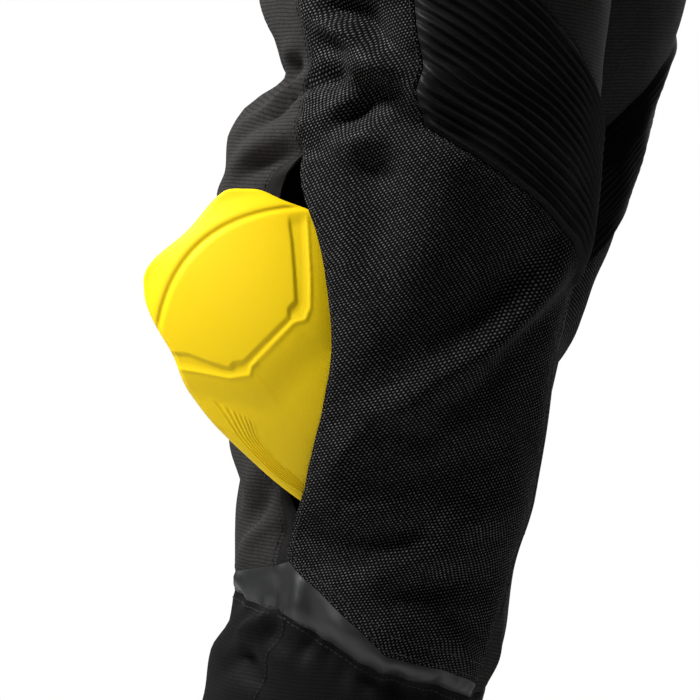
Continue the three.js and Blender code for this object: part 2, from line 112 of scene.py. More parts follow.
# Folds and creases by leg: angle, height, lean in degrees, half length and width, depth in mm.
# A negative depth is a ridge.
FOLDS = {
    "right": [
        (84, -432, 12, 34, 9, 4), (80, -468, -8, 30, 9, 4), (62, -500, 10, 26, 9, 4),
        (10, -660, 52, 70, 16, 3), (58, -745, 12, 50, 11, 4), (135, -480, 20, 40, 12, 4),
        (120, -800, -25, 50, 12, 4),
    ],
    "both": [
        (150, -860, 18, 55, 14, 4), (30, -880, -12, 50, 14, 4), (80, -930, 16, 55, 16, 4),
        (20, -330, 22, 60, 16, 4), (195, -330, -24, 70, 16, 5),
    ],
    "left": [
        (190, -500, 5, 70, 14, 5), (80, -560, 30, 50, 16, 4),
    ],
}
CREASES = {
    "right": [
        # Crumples of the strip beside the ribbed panel
        (103, -438, 20, 7, 5, 4.1), (90, -438, 15, 11, 5, 4.5), (88, -449, 30, 9, 5, 3.8),
        (105, -458, 25, 10, 5, 4.1), (98, -450, 38, 24, 5, -3.4), (104, -472, 15, 8, 5, 3.8),
        (86, -481, 8, 12, 5, 4.5), (94, -468, 12, 14, 5, -3.4), (86, -494, -45, 10, 5, 3.8),
        (72, -492, 25, 13, 5, 2.6), (82, -506, -15, 13, 7, -2.8), (68, -503, 20, 17, 5, 2.6),
        (78, -526, -40, 7, 7, 2.5), (76, -556, 88, 27, 8, 1.9),
        # Broad soft folds of the knee
        (57, -530, 62, 30, 10, -3), (40, -566, 60, 40, 12, 2.6), (40, -627, -43, 57, 9, -3.1),
        (32, -640, -43, 48, 7, 2.5), (24, -605, -60, 42, 7, -2.8), (62, -728, 3, 42, 6, 2.5),
        (44, -734, -27, 30, 9, -2.8), (40, -757, -5, 27, 6, 2.2), (73, -688, -65, 18, 5, 1.7),
        (60, -670, 15, 17, 5, 1.5), (23, -528, 60, 18, 6, 1.7), (90, -597, 85, 36, 7, 1.1),
        (46, -691, -20, 36, 8, 1.7),
        # Wrinkles of the smooth band
        (101, -763, 78, 10, 4, 1.9), (93, -772, 66, 12, 4, -1.7), (88, -786, 72, 10, 4, 2.0),
        (78, -790, 60, 12, 4, 1.9), (68, -800, 74, 9, 4, 1.7), (58, -805, 64, 9, 4, 1.7),
        (46, -811, 72, 8, 4, 1.5), (24, -816, 76, 8, 4, 1.5),
        # Lower leg under the smooth band
        (114, -801, 22, 24, 5, 3.6), (108, -769, 75, 14, 4, 2.8), (139, -766, 10, 8, 4, 2.8),
        (118, -782, -35, 16, 5, -2.8), (76, -795, 18, 30, 6, 2.2), (43, -813, 10, 30, 5, 2.5),
        (-5, -801, 80, 14, 4, 2.8), (22, -790, 30, 18, 5, -2.0),
        # Back of the thigh and knee
        (131, -465, -20, 10, 4, 3.2), (148, -478, -35, 18, 4, -2.6), (122, -486, -38, 16, 4, 3),
        (118, -506, -20, 20, 5, -2.2), (118, -520, -18, 20, 4, 2.2), (154, -435, 60, 18, 4, 1.5),
        (120, -709, -50, 18, 6, 2.6), (123, -729, -30, 18, 5, -2.4), (185, -470, 8, 40, 6, 3),
        (205, -500, -14, 36, 6, 2.4), (170, -530, 16, 30, 7, -2), (190, -620, -10, 34, 8, 1.8),
        (165, -690, 24, 36, 7, 1.8), (200, -770, -18, 30, 6, 2.2),
    ],
    "both": [
        # Thighs, seat and lower legs of both
        (50, -300, 28, 40, 9, 2.2), (10, -262, -30, 30, 7, 2.4), (60, -180, 20, 40, 10, 1.6),
        (120, -150, -14, 46, 10, 1.6), (150, -250, -32, 44, 9, 2.4), (110, -340, 12, 42, 9, 2.0),
        (160, -400, -16, 44, 8, 2.2), (-20, -330, -26, 34, 7, 2.0), (60, -870, -24, 40, 8, 1.8),
        (110, -900, 22, 36, 7, 2.0), (0, -950, 14, 40, 8, 1.8), (130, -980, -10, 44, 9, 1.8),
        (60, -1000, 12, 40, 8, 1.6), (200, -930, 20, 40, 8, 2.2),
    ],
    "left": [
        # Left leg
        (86, -446, 18, 14, 5, 2.2), (92, -470, 26, 12, 4, 2.2), (80, -492, 6, 14, 5, 1.8),
        (50, -640, -38, 50, 9, -2), (38, -655, -40, 44, 8, 1.6), (66, -715, 6, 40, 7, 1.6),
        (130, -500, -22, 24, 6, 2.2), (175, -480, 10, 40, 7, 2.6), (200, -540, -14, 38, 7, 2.4),
        (150, -620, 20, 36, 8, 1.8), (190, -700, -12, 36, 7, 1.8), (120, -790, -24, 34, 7, 2),
        (-10, -560, 34, 30, 7, 1.6), (-30, -700, -20, 32, 8, 1.6),
    ],
}

# A crease is longer, wider and deeper than its row, bends, and has a ridge along its upper side
CREASE = {"length": 1.25, "width": 1.4, "depth": 2.0, "bend": 0.35, "ridge": 1.7, "shoulder": 0.45}
LEG_RADIUS = 85
# Unevenness of loose cloth: height and wave in mm, seed
LOOSE = ((0.45, 70, 3), (0.22, 26, 4))
# How near the middle seams of front and seat the cloth lies still, in mm
JOINED = 30
# Weave directions: angle they are laid out from, steps round the leg, lean of the yarns
GRAIN = {"start": 65.0, "steps": 24, "lean": -0.06, "coarse_heights": (-780, -560, -430, -300),
         "coarse_leans": (0.10, 0.36, 0.2, 0.08)}
# Rim of a panel: width of its dip, place and width of its ripple, how far from the middle seam
# it is free, in mm, then unevenness of the dip, wave and seed of dip and of ripple
RIM = {"dip": 2.2, "ripple": 3.5, "middle": 12, "uneven": 0.3, "dip_wave": (18, 7),
       "ripple_wave": (9, 8), "step": 0.02}
# Ribbed panels: size and room at the sides in mm, cells across and in a rib, how a rib flattens
# at its ends, unevenness with its wave and seed
RIBS = {"across": 150, "down": 120, "room": 0.5, "cells": {"right": (70, 10), "left": (48, 8)},
        "fade": 7, "ends": 0.25, "uneven": 0.16, "wave": (34, 11)}
# Room under the tab and flap in mm, and what the flap gets on top because its rim dips
ON_TOP, FLAP_ROOM = 0.75, 0.4
# The tab: cells round and down, its part of the waistband, its size and the dip of its rim in mm
TAB = {"count": 24, "rows": 12, "low": 0.2, "high": 0.8, "half": 27, "band": 38, "reach": 26,
       "steep": 1.2, "dip": 0.5, "dip_width": 1.4}

# The knee pad: cup facing 60 degrees outward, its length running down and forward. It lies
# 2.4 mm deeper than the solid, clear of the creased knee panel.
PAD = {"facing": 60, "level": -163.8, "top": -561.2, "depth": 174.7, "crown": 90,
       "length_radius": 300, "near_radius": 85, "far_radius": 110, "foam": 11, "edge": 4,
       "taper": 16}
PAD_OUTLINE = [
    (-4, -20, 25), (-3, -27, 33), (0, -33, 38), (3, -36, 41), (11, -42, 48), (24, -47, 53),
    (40, -51, 60), (63, -60, 65),
    (90, -63, 67), (124, -62, 66), (150, -59, 62), (185, -50, 53), (215, -38, 41), (231, -26, 28),
]
# Foot of the bevel round the cap and top of that bevel, as across and along in mm
CAP_FOOT = [(-70, 30), (-49, 58), (-38, 74), (-29, 80.6), (-25, 78), (9, 77.4), (14.5, 80.6),
            (21, 78), (33, 66), (50, 47), (70, 24)]
CAP_TOP = [(-70, 18), (-45, 48), (-40, 59), (-34, 69.7), (-30, 69.3), (-26, 73), (9, 73),
           (12, 69.7), (18, 69.4), (29, 57), (40, 44), (46, 36), (70, 8)]

# Moulding of the pad in mm. Ledge, foot and ridge are heights as shares of the cap's rise.
MOULD = {
    "rows": 230, "across": 210, "crowd_along": 1.15, "crowd_across": 1.4,
    "brow": 2.6, "brow_at": 3, "brow_width": 17, "brow_end": 12,
    "arc_top": 9.3, "arc_bend": 134, "arc_width": 2, "arc_above": (-16, -1), "arc_below": (3, 14),
    "ledge": 0.6, "ledge_slope": 0.25, "ledge_width": 6, "step": (-1.2, 1.6),
    "foot": 0.75, "foot_end": 26, "ridge": 0.16, "ridge_width": 1.3,
    "fan_ribs": 6, "fan_rise": 0.35, "fan_side": (-0.1, 0.3), "fan_end": 6.6, "fan_fade": 0.3,
    "fan_top": 75.7, "fan_slope": 3.26, "fan_from": 52.9, "fan_start": 3,
    "rim": 1.6, "rim_width": 2.4,
}

# Fan of fine ribs at the pad's lower edge: along, near and far side of the fan in mm
FAN = [(75, -29, -53), (87, -38, -54.8), (100, -46, -57.7), (105, -49, -58.2), (113, -51, -58.6),
       (124, -52, -58.7), (134, -51, -57.5), (150, -49, -54)]

# Grid lines in each coarse cell, by column and by row of the layout
COLUMN_CELLS = (8, 9, 6, 4, 7)
ROW_CELLS = (12, 11, 11, 5, 8, 8, 11)

# Panels of a leg: columns and rows of their blocks, slot, and material where it differs
PANELS = {
    "waistband": ([(INSEAM, REAR, "waist", "band")], "canvas"),
    "front_thigh": ([(INSEAM, STRIP, "band", "crotch"), (INNER, STRIP, "crotch", "ribs_top")],
                    "canvas"),
    "knee_panel": ([(STRIP, SIDE, "band", "ribs_end"), (INNER, SIDE, "ribs_end", "knee_end")],
                   "coarse_weave"),
    "inner_leg": ([(INSEAM, INNER, "crotch", "calf_end")], "canvas"),
    "back_leg": ([(SIDE, REAR, "band", "ribs_end"), (FACING, REAR, "ribs_end", "knee_end"),
                  (CALF, REAR, "knee_end", "calf_end")], "canvas"),
    "pocket_facing": ([(SIDE, FACING, "ribs_end", "knee_end")], "tape"),
    "calf_band": ([(INNER, CALF, "knee_end", "calf_end")], "satin"),
    # The lower legs take a darker copy of the canvas: painted shade on the same cloth
    "lower_front": ([(INSEAM, SIDE, "calf_end", "hem")], "canvas", "dark_canvas"),
    "lower_back": ([(SIDE, REAR, "calf_end", "hem")], "canvas", "dark_canvas"),
}

# Rows of stitches: panel, row or column, which one, its ends, distance into the panel in mm
STITCHES = [
    ("knee_panel", "row", "knee_end", INNER, SIDE, -2.2),
    ("knee_panel", "row", "knee_end", INNER, SIDE, -8.5),
    ("knee_panel", "row", "ribs_end", INNER, STRIP, 2.2),
    ("knee_panel", "column", STRIP, "band", "ribs_end", 2.2),
    ("knee_panel", "column", SIDE, "band", "knee_end", -2.4),
    ("knee_panel", "column", INNER, "ribs_end", "knee_end", 2.2),
    ("front_thigh", "row", "ribs_top", INNER, STRIP, -2.4),
    ("front_thigh", "row", "band", INSEAM, STRIP, 2.4),
    ("back_leg", "column", SIDE, "band", "ribs_end", 2.4),
    ("back_leg", "column", FACING, "ribs_end", "knee_end", 2.2),
    ("inner_leg", "column", INNER, "crotch", "calf_end", -2.4),
    ("calf_band", "row", "calf_end", INNER, CALF, -2.0),
    ("lower_front", "row", "calf_end", INSEAM, SIDE, 2.4), ("lower_front", "row", "hem", INSEAM, SIDE, -20),
    ("lower_back", "row", "calf_end", SIDE, REAR, 2.4), ("lower_back", "row", "hem", SIDE, REAR, -20),
    ("lower_back", "column", SIDE, "calf_end", "hem", 2.4),
    ("waistband", "row", "waist", INSEAM, REAR, 3), ("waistband", "row", "band", INSEAM, REAR, -3),
]


class Curve:
    """Smooth curve through one column of a table that never overshoots its rows."""

    def __init__(self, table, column):
        rows = sorted(table)
        self.x = np.array([row[0] for row in rows], float)
        self.y = np.array([row[column] for row in rows], float)
        slope = np.diff(self.y) / np.diff(self.x)
        before, after = slope[:-1], slope[1:]
        total = np.where(before * after > 0, before + after, 1)
        mean = np.where(before * after > 0, 2 * before * after / total, 0)
        self.tangent = np.concatenate(([slope[0]], mean, [slope[-1]]))

    def __call__(self, place):
        x = np.clip(place, self.x[0], self.x[-1])
        k = np.searchsorted(self.x[1:-1], x, side="left")
        span = self.x[k + 1] - self.x[k]
        t = (x - self.x[k]) / span
        rest = 1 - t
        ends = self.y[k] * rest * rest * (1 + 2 * t) + self.y[k + 1] * t * t * (3 - 2 * t)
        return ends + span * t * rest * (self.tangent[k] * rest - self.tangent[k + 1] * t)


INNER_SEAM, STRIP_SEAM, SIDE_SEAM = (Curve(SEAMS, column) for column in (1, 2, 3))
HIP_CURVES = [Curve(HIPS, column) for column in (1, 2, 3, 4)]


def smooth_step(value, low, high):
    t = np.clip((value - low) / (high - low), 0, 1)
    return t * t * (3 - 2 * t)


def unit(vectors):
    return vectors / np.maximum(np.linalg.norm(vectors, axis=-1, keepdims=True), 1e-12)


def soft_noise(points, wave, seed):
    """Smooth uneven field between about -1 and 1 over points in mm."""
    turn = np.random.default_rng(seed)
    total = np.zeros(len(points))
    for _ in range(6):
        direction = unit(turn.normal(size=3)) * turn.uniform(0.7, 1.4) * 2 * math.pi / wave
        total += np.sin(points @ direction + turn.uniform(0, 2 * math.pi))
    return total / 3


class Leg:
    """Half of the garment. Drop scales the heights below the crotch of a leaning leg."""

    def __init__(self, name, sign, rows, drop, slit):
        self.name, self.sign, self.drop, self.slit = name, sign, drop, slit
        self.curves = [Curve(rows, column) for column in (1, 2, 3, 4)]
        self.folds, self.creases = ([row for whose, rows in table.items()
                                     if whose in (name, "both") for row in rows]
                                    for table in (FOLDS, CREASES))

    def height(self, z):
        return np.where(z >= CROTCH, z, CROTCH + (z - CROTCH) * self.drop)

    def oval(self, z):
        h = self.height(z)
        mid, side, front, back = (np.where(z >= CROTCH, hip(h), leg(h))
                                  for hip, leg in zip(HIP_CURVES, self.curves))
        return mid, side, (front + back) / 2, (back - front) / 2

    def bare(self, angle, z):
        mid, side, y, reach = self.oval(z)
        turn = np.radians(angle)
        x = self.sign * (mid + side * np.sin(turn))
        return np.stack([x, y - reach * np.cos(turn), self.height(z)], axis=-1)

    def normal(self, angle, z):
        round_leg = self.bare(angle + 0.5, z) - self.bare(angle - 0.5, z)
        down = self.bare(angle, z - 0.5) - self.bare(angle, z + 0.5)
        return unit(np.cross(round_leg, down) * -self.sign)

    def depth_of(self, folds, angle, z, shoulder=0.0):
        depth = np.zeros(np.shape(z))
        for fold_angle, fold_z, lean, length, width, deep in folds:
            if shoulder:
                length, width, deep = (length * CREASE["length"], width * CREASE["width"],
                                       deep * CREASE["depth"])
            across = (angle - fold_angle) * math.radians(1) * LEG_RADIUS
            up = z - fold_z
            c, s = math.cos(math.radians(lean)), math.sin(math.radians(lean))
            u = (across * c + up * s) / length
            v = (up * c - across * s) / width + shoulder * CREASE["bend"] * u * u
            side_ridge = shoulder * np.exp(-u * u - (v - CREASE["ridge"]) ** 2)
            depth += deep * (np.exp(-u * u - v * v) - side_ridge)
        return depth

    def slit_share(self, z):
        if not self.slit:
            return np.zeros(np.shape(z))
        share = np.clip((z - SLIT["top"]) / (SLIT["end"] - SLIT["top"]), 0, 1)
        return np.maximum(np.sin(np.pi * share), 0) ** 0.7

    def opening(self, z):
        """Degrees that the rear edge of the slit lies back, none below the pad."""
        return SLIT["spread"] * self.slit_share(z) * smooth_step(z, *SLIT["meets"])

    def column_angle(self, i, z, rear):
        mid, side, _, _ = self.oval(z)
        edge = np.degrees(np.arcsin(np.minimum(1, mid / side)))
        opened = SIDE_SEAM(z) + (self.opening(z) if rear else 0)
        values = np.stack([-edge, INNER_SEAM(z), STRIP_SEAM(z), opened,
                           opened + SLIT["facing"], 180 + edge])
        k = np.searchsorted(ANGLE_COLUMNS[1:-1], i, side="left")
        stops = np.array(ANGLE_COLUMNS)
        share = (i - stops[k]) / (stops[k + 1] - stops[k])
        places = np.arange(len(k))
        return values[k, places] * (1 - share) + values[k + 1, places] * share

    def row_height(self, i, j):
        lines = np.array([np.interp(i, LINE_COLUMNS, line[1:]) for line in LINES.values()])
        first = np.array(list(ROW.values()))
        cells = np.array([line[0] for line in LINES.values()])
        k = np.searchsorted(first[1:-1], j, side="left")
        share = (j - first[k]) / cells[k]
        places = np.arange(len(k))
        return lines[k, places] * (1 - share) + lines[k + 1, places] * share

    def surface(self, i, j, rear=False, stands=False, creased=True):
        """Outer face of the cloth at grid places: points, normals, angles and heights."""
        i, j = np.asarray(i, float), np.asarray(j, float)
        z = self.row_height(i, j)
        angle = self.column_angle(i, z, rear)
        normal = self.normal(angle, z)
        rise = -self.depth_of(self.folds, angle, z)
        if stands:
            away = np.clip((SIDE_SEAM(z) - angle) / SLIT["reach"], 0, 1)
            rise += SLIT["lift"] * self.slit_share(z) * (1 - away) ** 2 * (1 + 2 * away)
        at = self.bare(angle, z)
        if creased:
            loose = -self.depth_of(self.creases, angle, z, CREASE["shoulder"])
            loose += sum(height * soft_noise(at, wave, seed) for height, wave, seed in LOOSE)
            joined = smooth_step(z, CROTCH - JOINED, CROTCH)
            joined = joined * (1 - smooth_step(np.abs(at[:, 0]), 0, JOINED))
            rise += loose * (1 - joined)
        return at + normal * rise[..., None], normal, angle, z

    def grain(self, angle, z, coarse):
        """Cloth coordinates in mm: round the leg from the strip, and down it."""
        share = (np.arange(GRAIN["steps"]) + 0.5) / GRAIN["steps"]
        _, side, _, reach = self.oval(z)
        start = GRAIN["start"]
        turns = np.radians(start + (angle - start)[:, None] * share)
        speed = np.hypot(side[:, None] * np.cos(turns), reach[:, None] * np.sin(turns))
        round_leg = speed.mean(axis=1) * np.radians(angle - start)
        lean = (np.interp(z, GRAIN["coarse_heights"], GRAIN["coarse_leans"]) if coarse
                else GRAIN["lean"])
        return np.stack([round_leg, -(z + lean * round_leg)], axis=-1)


LEGS = {
    "right": Leg("right", -1, RIGHT_LEG, 1, True),
    "left": Leg("left", 1, LEFT_LEG, 0.98, False),
}


def grid_lines(stops, cells, share):
    lines = [np.array([float(stops[0])])]
    for low, high, count in zip(stops, stops[1:], cells):
        lines.append(np.linspace(low, high, max(2, round(count * share)) * (high - low) + 1)[1:])
    return np.concatenate(lines)


def new_object(name, points, faces, uvs=None, sharp=50):
    """Object from points in mm, with its cloth coordinates as a UV map in metres."""
    mesh = bpy.data.meshes.new(name)
    mesh.from_pydata((np.asarray(points) * MM).tolist(), [], [list(face) for face in faces])
    if uvs is not None:
        layer = mesh.uv_layers.new(name="Cloth")
        places = np.empty(len(mesh.loops), dtype=np.int32)
        mesh.loops.foreach_get("vertex_index", places)
        layer.data.foreach_set("uv", (np.asarray(uvs)[places] * MM).astype(np.float32).ravel())
    mesh.shade_smooth()
    mesh.set_sharp_from_angle(angle=math.radians(sharp))
    mesh.validate()
    piece = bpy.data.objects.new(name, mesh)
    bpy.context.scene.collection.objects.link(piece)
    return piece


def finish_piece(piece, material, slot, *nodes):
    piece.data.materials.clear()
    piece.data.materials.append(material)
    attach(piece, "root")
    if nodes:
        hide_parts(*nodes)


def close_wall(outer, inner, quads, rim, normals):
    """Points and faces of a closed wall with its faces outward."""
    count = len(outer)
    quads = np.asarray(quads)
    a, b, c = (outer[quads[0][k]] for k in range(3))
    if np.dot(np.cross(b - a, c - a), normals[quads[0][0]]) < 0:
        quads = quads[:, ::-1]
    used = {}
    for quad in quads.tolist():
        for k in range(4):
            used[(quad[k], quad[(k + 1) % 4])] = True
    walls = []
    for p, q in rim:
        if (p, q) not in used:
            p, q = q, p
        walls.append((q, p, p + count, q + count))
    faces = quads.tolist() + (quads[:, ::-1] + count).tolist() + walls
    return np.concatenate([outer, inner]), faces


def grid_wall(outer, inner, place, normals):
    """Closed wall over a whole grid of points, with the quads of its outer face."""
    quads = np.stack([place[:-1, :-1], place[:-1, 1:], place[1:, 1:], place[1:, :-1]], axis=-1)
    quads = quads.reshape(-1, 4)
    rim = []
    for line in (place[0], place[-1], place[:, 0], place[:, -1]):
        rim += zip(line[:-1].tolist(), line[1:].tolist())
    return (*close_wall(outer, inner, quads, rim, normals), quads)


def cut_size(outer, quads, across, down):
    """Widest row, longest column and area of a cut piece, in metres."""
    def longest(lines):
        runs = (outer[line[line >= 0]] for line in lines)
        return max(np.linalg.norm(np.diff(run, axis=0), axis=1).sum() for run in runs) * MM
    corners = outer[np.asarray(quads)]
    sides = np.cross(corners[:, 2] - corners[:, 0], corners[:, 3] - corners[:, 1])
    area = 0.5 * np.linalg.norm(sides, axis=1).sum() * MM * MM
    width, length = longest(across), longest(down)
    return width, length, min(float(area), width * length)


class Shell:
    """Fine closed wall of a sewn panel over blocks of the leg's grid."""

    def __init__(self, leg, blocks, settings, rise=0.0, share=1.0, **where):
        columns = grid_lines(ANGLE_COLUMNS, COLUMN_CELLS, share)
        rows = grid_lines(list(ROW.values()), ROW_CELLS, share)
        middle_i = (columns[1:] + columns[:-1]) / 2
        middle_j = (rows[1:] + rows[:-1]) / 2
        mask = np.zeros((len(middle_i), len(middle_j)), bool)
        for low, high, top, end in blocks:
            mask |= ((middle_i > low) & (middle_i < high))[:, None] & (
                (middle_j > top) & (middle_j < end))[None, :]
        corner = np.zeros((mask.shape[0] + 1, mask.shape[1] + 1), bool)
        for di in (0, 1):
            for dj in (0, 1):
                corner[di:di + mask.shape[0], dj:dj + mask.shape[1]] |= mask
        place = -np.ones(corner.shape, int)
        place[corner] = np.arange(corner.sum())
        ci, cj = np.nonzero(corner)
        i, j = columns[ci], rows[cj]
        at, normal, angle, z = leg.surface(i, j, **where)
        step = RIM["step"]
        along_i, along_j = (unit(leg.surface(i + di, j + dj, **where)[0]
                                 - leg.surface(i - di, j - dj, **where)[0])
                            for di, dj in ((step, 0), (0, step)))
        normal = unit(np.cross(along_i, along_j))
        if np.mean(np.sum(normal * leg.normal(angle, z), axis=1)) < 0:
            normal = -normal
        padded = np.pad(mask, 1)
        rim, pull_i, pull_j = [], np.zeros(len(i)), np.zeros(len(i))
        west = padded[1:, 1:-1] != padded[:-1, 1:-1]
        for a, b in zip(*np.nonzero(west)):
            p, q = place[a, b], place[a, b + 1]
            rim.append((p, q))
            pull_i[[p, q]] = 1 if padded[a + 1, b + 1] else -1
        north = padded[1:-1, 1:] != padded[1:-1, :-1]
        for a, b in zip(*np.nonzero(north)):
            p, q = place[a, b], place[a + 1, b]
            rim.append((p, q))
            pull_j[[p, q]] = 1 if padded[a + 1, b + 1] else -1
        across_i = unit(along_i - along_j * np.sum(along_i * along_j, axis=1, keepdims=True))
        across_j = unit(along_j - along_i * np.sum(along_i * along_j, axis=1, keepdims=True))
        half = settings.seam_gap / MM / 2
        rim_points = sorted({p for edge in rim for p in edge})
        tree = KDTree(len(rim_points))
        for p in rim_points:
            tree.insert(at[p], p)
        tree.balance()
        away = np.array([tree.find(point)[2] for point in at])
        at = at + (across_i * pull_i[:, None] + across_j * pull_j[:, None]) * half
        dip = settings.seam_dip / MM * np.exp(-(away / RIM["dip"]) ** 2)
        dip *= 1 + RIM["uneven"] * soft_noise(at, *RIM["dip_wave"])
        pucker = settings.pucker / MM * np.exp(-((away - RIM["ripple"]) / RIM["ripple"]) ** 2)
        pucker *= soft_noise(at, *RIM["ripple_wave"])
        move = normal * (rise - dip + pucker)[:, None]
        # The halves meet at the middle seams
        move[:, 0] *= smooth_step(np.abs(at[:, 0]), 0, RIM["middle"])
        at = at + move
        quads = [(place[a, b], place[a + 1, b], place[a + 1, b + 1], place[a, b + 1])
                 for a, b in zip(*np.nonzero(mask))]
        self.outer, self.quads = at, quads
        inner = at - normal * (settings.wall / MM)
        self.points, self.faces = close_wall(at, inner, quads, rim, normal)
        uv = leg.grain(angle, z, "stands" in where)
        self.uv = np.concatenate([uv, uv])
        self.flat = cut_size(at, quads, place.T, place)


# Shader groups and materials

def socket(group, name, kind, direction, default=None):
    item = group.interface.new_socket(name=name, in_out=direction, socket_type=kind)
    if default is not None:
        item.default_value = default
    return item


def add(tree, kind, values=None, **settings):
    node = tree.nodes.new(kind)
    for name, value in settings.items():
        setattr(node, name, value)
    for key, value in (values or {}).items():
        node.inputs[key].default_value = value
    return node


def maths(tree, operation, first, second=None, third=None):
    node = add(tree, "ShaderNodeMath", operation=operation)
    for k, value in enumerate((first, second, third)):
        if value is None:
            continue
        if isinstance(value, (int, float)):
            node.inputs[k].default_value = value
        else:
            tree.links.new(value, node.inputs[k])
    return node.outputs[0]


def mix_colour(tree, factor, first, second):
    node = add(tree, "ShaderNodeMix", data_type="RGBA")
    for value, name in ((factor, "Factor_Float"), (first, "A_Color"), (second, "B_Color")):
        target = next(s for s in node.inputs if s.identifier == name)
        tree.links.new(value, target)
    return next(s for s in node.outputs if s.identifier == "Result_Color")


def shader_group(name, floats, colours, outputs):
    """Shader group with its sockets; gives the tree, both inner ends and the link function."""
    tree = bpy.data.node_groups.new(name, "ShaderNodeTree")
    for key, value in floats.items():
        socket(tree, key, "NodeSocketFloat", "INPUT", value)
    for key, value in colours.items():
        socket(tree, key, "NodeSocketColor", "INPUT", colour(value))
    for key in outputs:
        kind = "NodeSocketColor" if key == "Colour" else "NodeSocketFloat"
        socket(tree, key, kind, "OUTPUT")
    return (tree, add(tree, "NodeGroupInput").outputs, add(tree, "NodeGroupOutput").inputs,
            tree.links.new)


# How far the yarns drift in yarns, the size of that drift, and how gloss falls off a crown
YARNS = {"drift": 0.9, "scale": 60.0, "detail": 2.0, "gloss_power": 0.6}
# Slow wear: detail and roughness of its pattern, tones between which it fades in, added roughness
WEAR = {"detail": 5.0, "roughness": 0.6, "low": 0.35, "high": 0.75, "rougher": 0.6}


def yarn_group():
    """Woven yarns over the cloth coordinates: colour with painted shade in the grooves and a painted
    highlight on the crowns, roughness, height and gloss.
    """
    tree, inputs, outputs, link = shader_group(
        "Woven yarns",
        {"Pitch across": 0.002, "Pitch down": 0.0016, "Stagger": 0.5, "Groove roughness": 0.9,
         "Crown roughness": 0.5, "Unevenness": 0.3, "Narrowness": 0.8, "Gloss": 0.0},
        {"Groove colour": (0.005, 0.005, 0.005), "Crown colour": (0.03, 0.03, 0.03)},
        ("Colour", "Roughness", "Height", "Gloss"))
    uv = add(tree, "ShaderNodeUVMap", uv_map="Cloth").outputs[0]
    split = add(tree, "ShaderNodeSeparateXYZ")
    link(uv, split.inputs[0])
    warp = add(tree, "ShaderNodeTexNoise", {"Scale": YARNS["scale"], "Detail": YARNS["detail"]})
    link(uv, warp.inputs["Vector"])
    drift = maths(tree, "MULTIPLY", maths(tree, "SUBTRACT", warp.outputs[0], 0.5), YARNS["drift"])
    down = maths(tree, "ADD", maths(tree, "DIVIDE", split.outputs[1], inputs["Pitch down"]), drift)
    row = maths(tree, "FLOOR", down)
    shift = maths(tree, "MULTIPLY", maths(tree, "MODULO", row, 2.0), inputs["Stagger"])
    across = maths(tree, "ADD", maths(tree, "DIVIDE", split.outputs[0], inputs["Pitch across"]),
                   maths(tree, "ADD", shift, drift))
    cells = []
    for value in (across, down):
        share = maths(tree, "SUBTRACT", maths(tree, "FRACT", value), 0.5)
        cells.append(maths(tree, "COSINE", maths(tree, "MULTIPLY", share, math.pi)))
    height = maths(tree, "POWER", maths(tree, "MULTIPLY", *cells), inputs["Narrowness"])
    cell = add(tree, "ShaderNodeCombineXYZ")
    link(maths(tree, "FLOOR", across), cell.inputs[0])
    link(row, cell.inputs[1])
    chance = add(tree, "ShaderNodeTexWhiteNoise", noise_dimensions="2D")
    link(cell.outputs[0], chance.inputs["Vector"])
    lost = maths(tree, "MULTIPLY", chance.outputs[0], inputs["Unevenness"])
    height = maths(tree, "MULTIPLY", height, maths(tree, "SUBTRACT", 1.0, lost))
    # The colour runs from painted shade in the grooves to a painted highlight on the crowns
    link(mix_colour(tree, height, inputs["Groove colour"], inputs["Crown colour"]),
         outputs["Colour"])
    gap = maths(tree, "SUBTRACT", inputs["Crown roughness"], inputs["Groove roughness"])
    link(maths(tree, "ADD", inputs["Groove roughness"], maths(tree, "MULTIPLY", gap, height)),
         outputs["Roughness"])
    link(height, outputs["Height"])
    fading = maths(tree, "POWER", height, YARNS["gloss_power"])
    link(maths(tree, "MULTIPLY", fading, inputs["Gloss"]), outputs["Gloss"])
    return tree


def wear_group():
    """Slow changes of tone with a little dust, over colour and roughness."""
    tree, inputs, outputs, link = shader_group(
        "Wear and dust", {"Roughness": 0.8, "Scale": 14.0, "Dust": 0.06},
        {"Colour": (0.1, 0.1, 0.1), "Dust colour": (0.2, 0.19, 0.18)}, ("Colour", "Roughness"))
    noise = add(tree, "ShaderNodeTexNoise", {"Detail": WEAR["detail"], "Roughness": WEAR["roughness"]})
    link(add(tree, "ShaderNodeTexCoord").outputs["Object"], noise.inputs["Vector"])
    link(inputs["Scale"], noise.inputs["Scale"])
    soft = add(tree, "ShaderNodeMapRange", {"From Min": WEAR["low"], "From Max": WEAR["high"]})
    link(noise.outputs[0], soft.inputs["Value"])
    share = maths(tree, "MULTIPLY", soft.outputs[0], inputs["Dust"])
    link(mix_colour(tree, share, inputs["Colour"], inputs["Dust colour"]), outputs["Colour"])
    rougher = maths(tree, "MULTIPLY", share, WEAR["rougher"])
    link(maths(tree, "ADD", inputs["Roughness"], rougher), outputs["Roughness"])
    return tree


def grain_group():
    """Fine even grain of moulded foam, thread or worn metal, as a height."""
    tree, inputs, outputs, link = shader_group("Fine grain", {"Scale": 900.0}, {}, ("Height",))
    noise = add(tree, "ShaderNodeTexNoise", {"Detail": 3.0, "Roughness": 0.7})
    link(add(tree, "ShaderNodeTexCoord").outputs["Object"], noise.inputs["Vector"])
    link(inputs["Scale"], noise.inputs["Scale"])
    link(noise.outputs[0], outputs["Height"])
    return tree
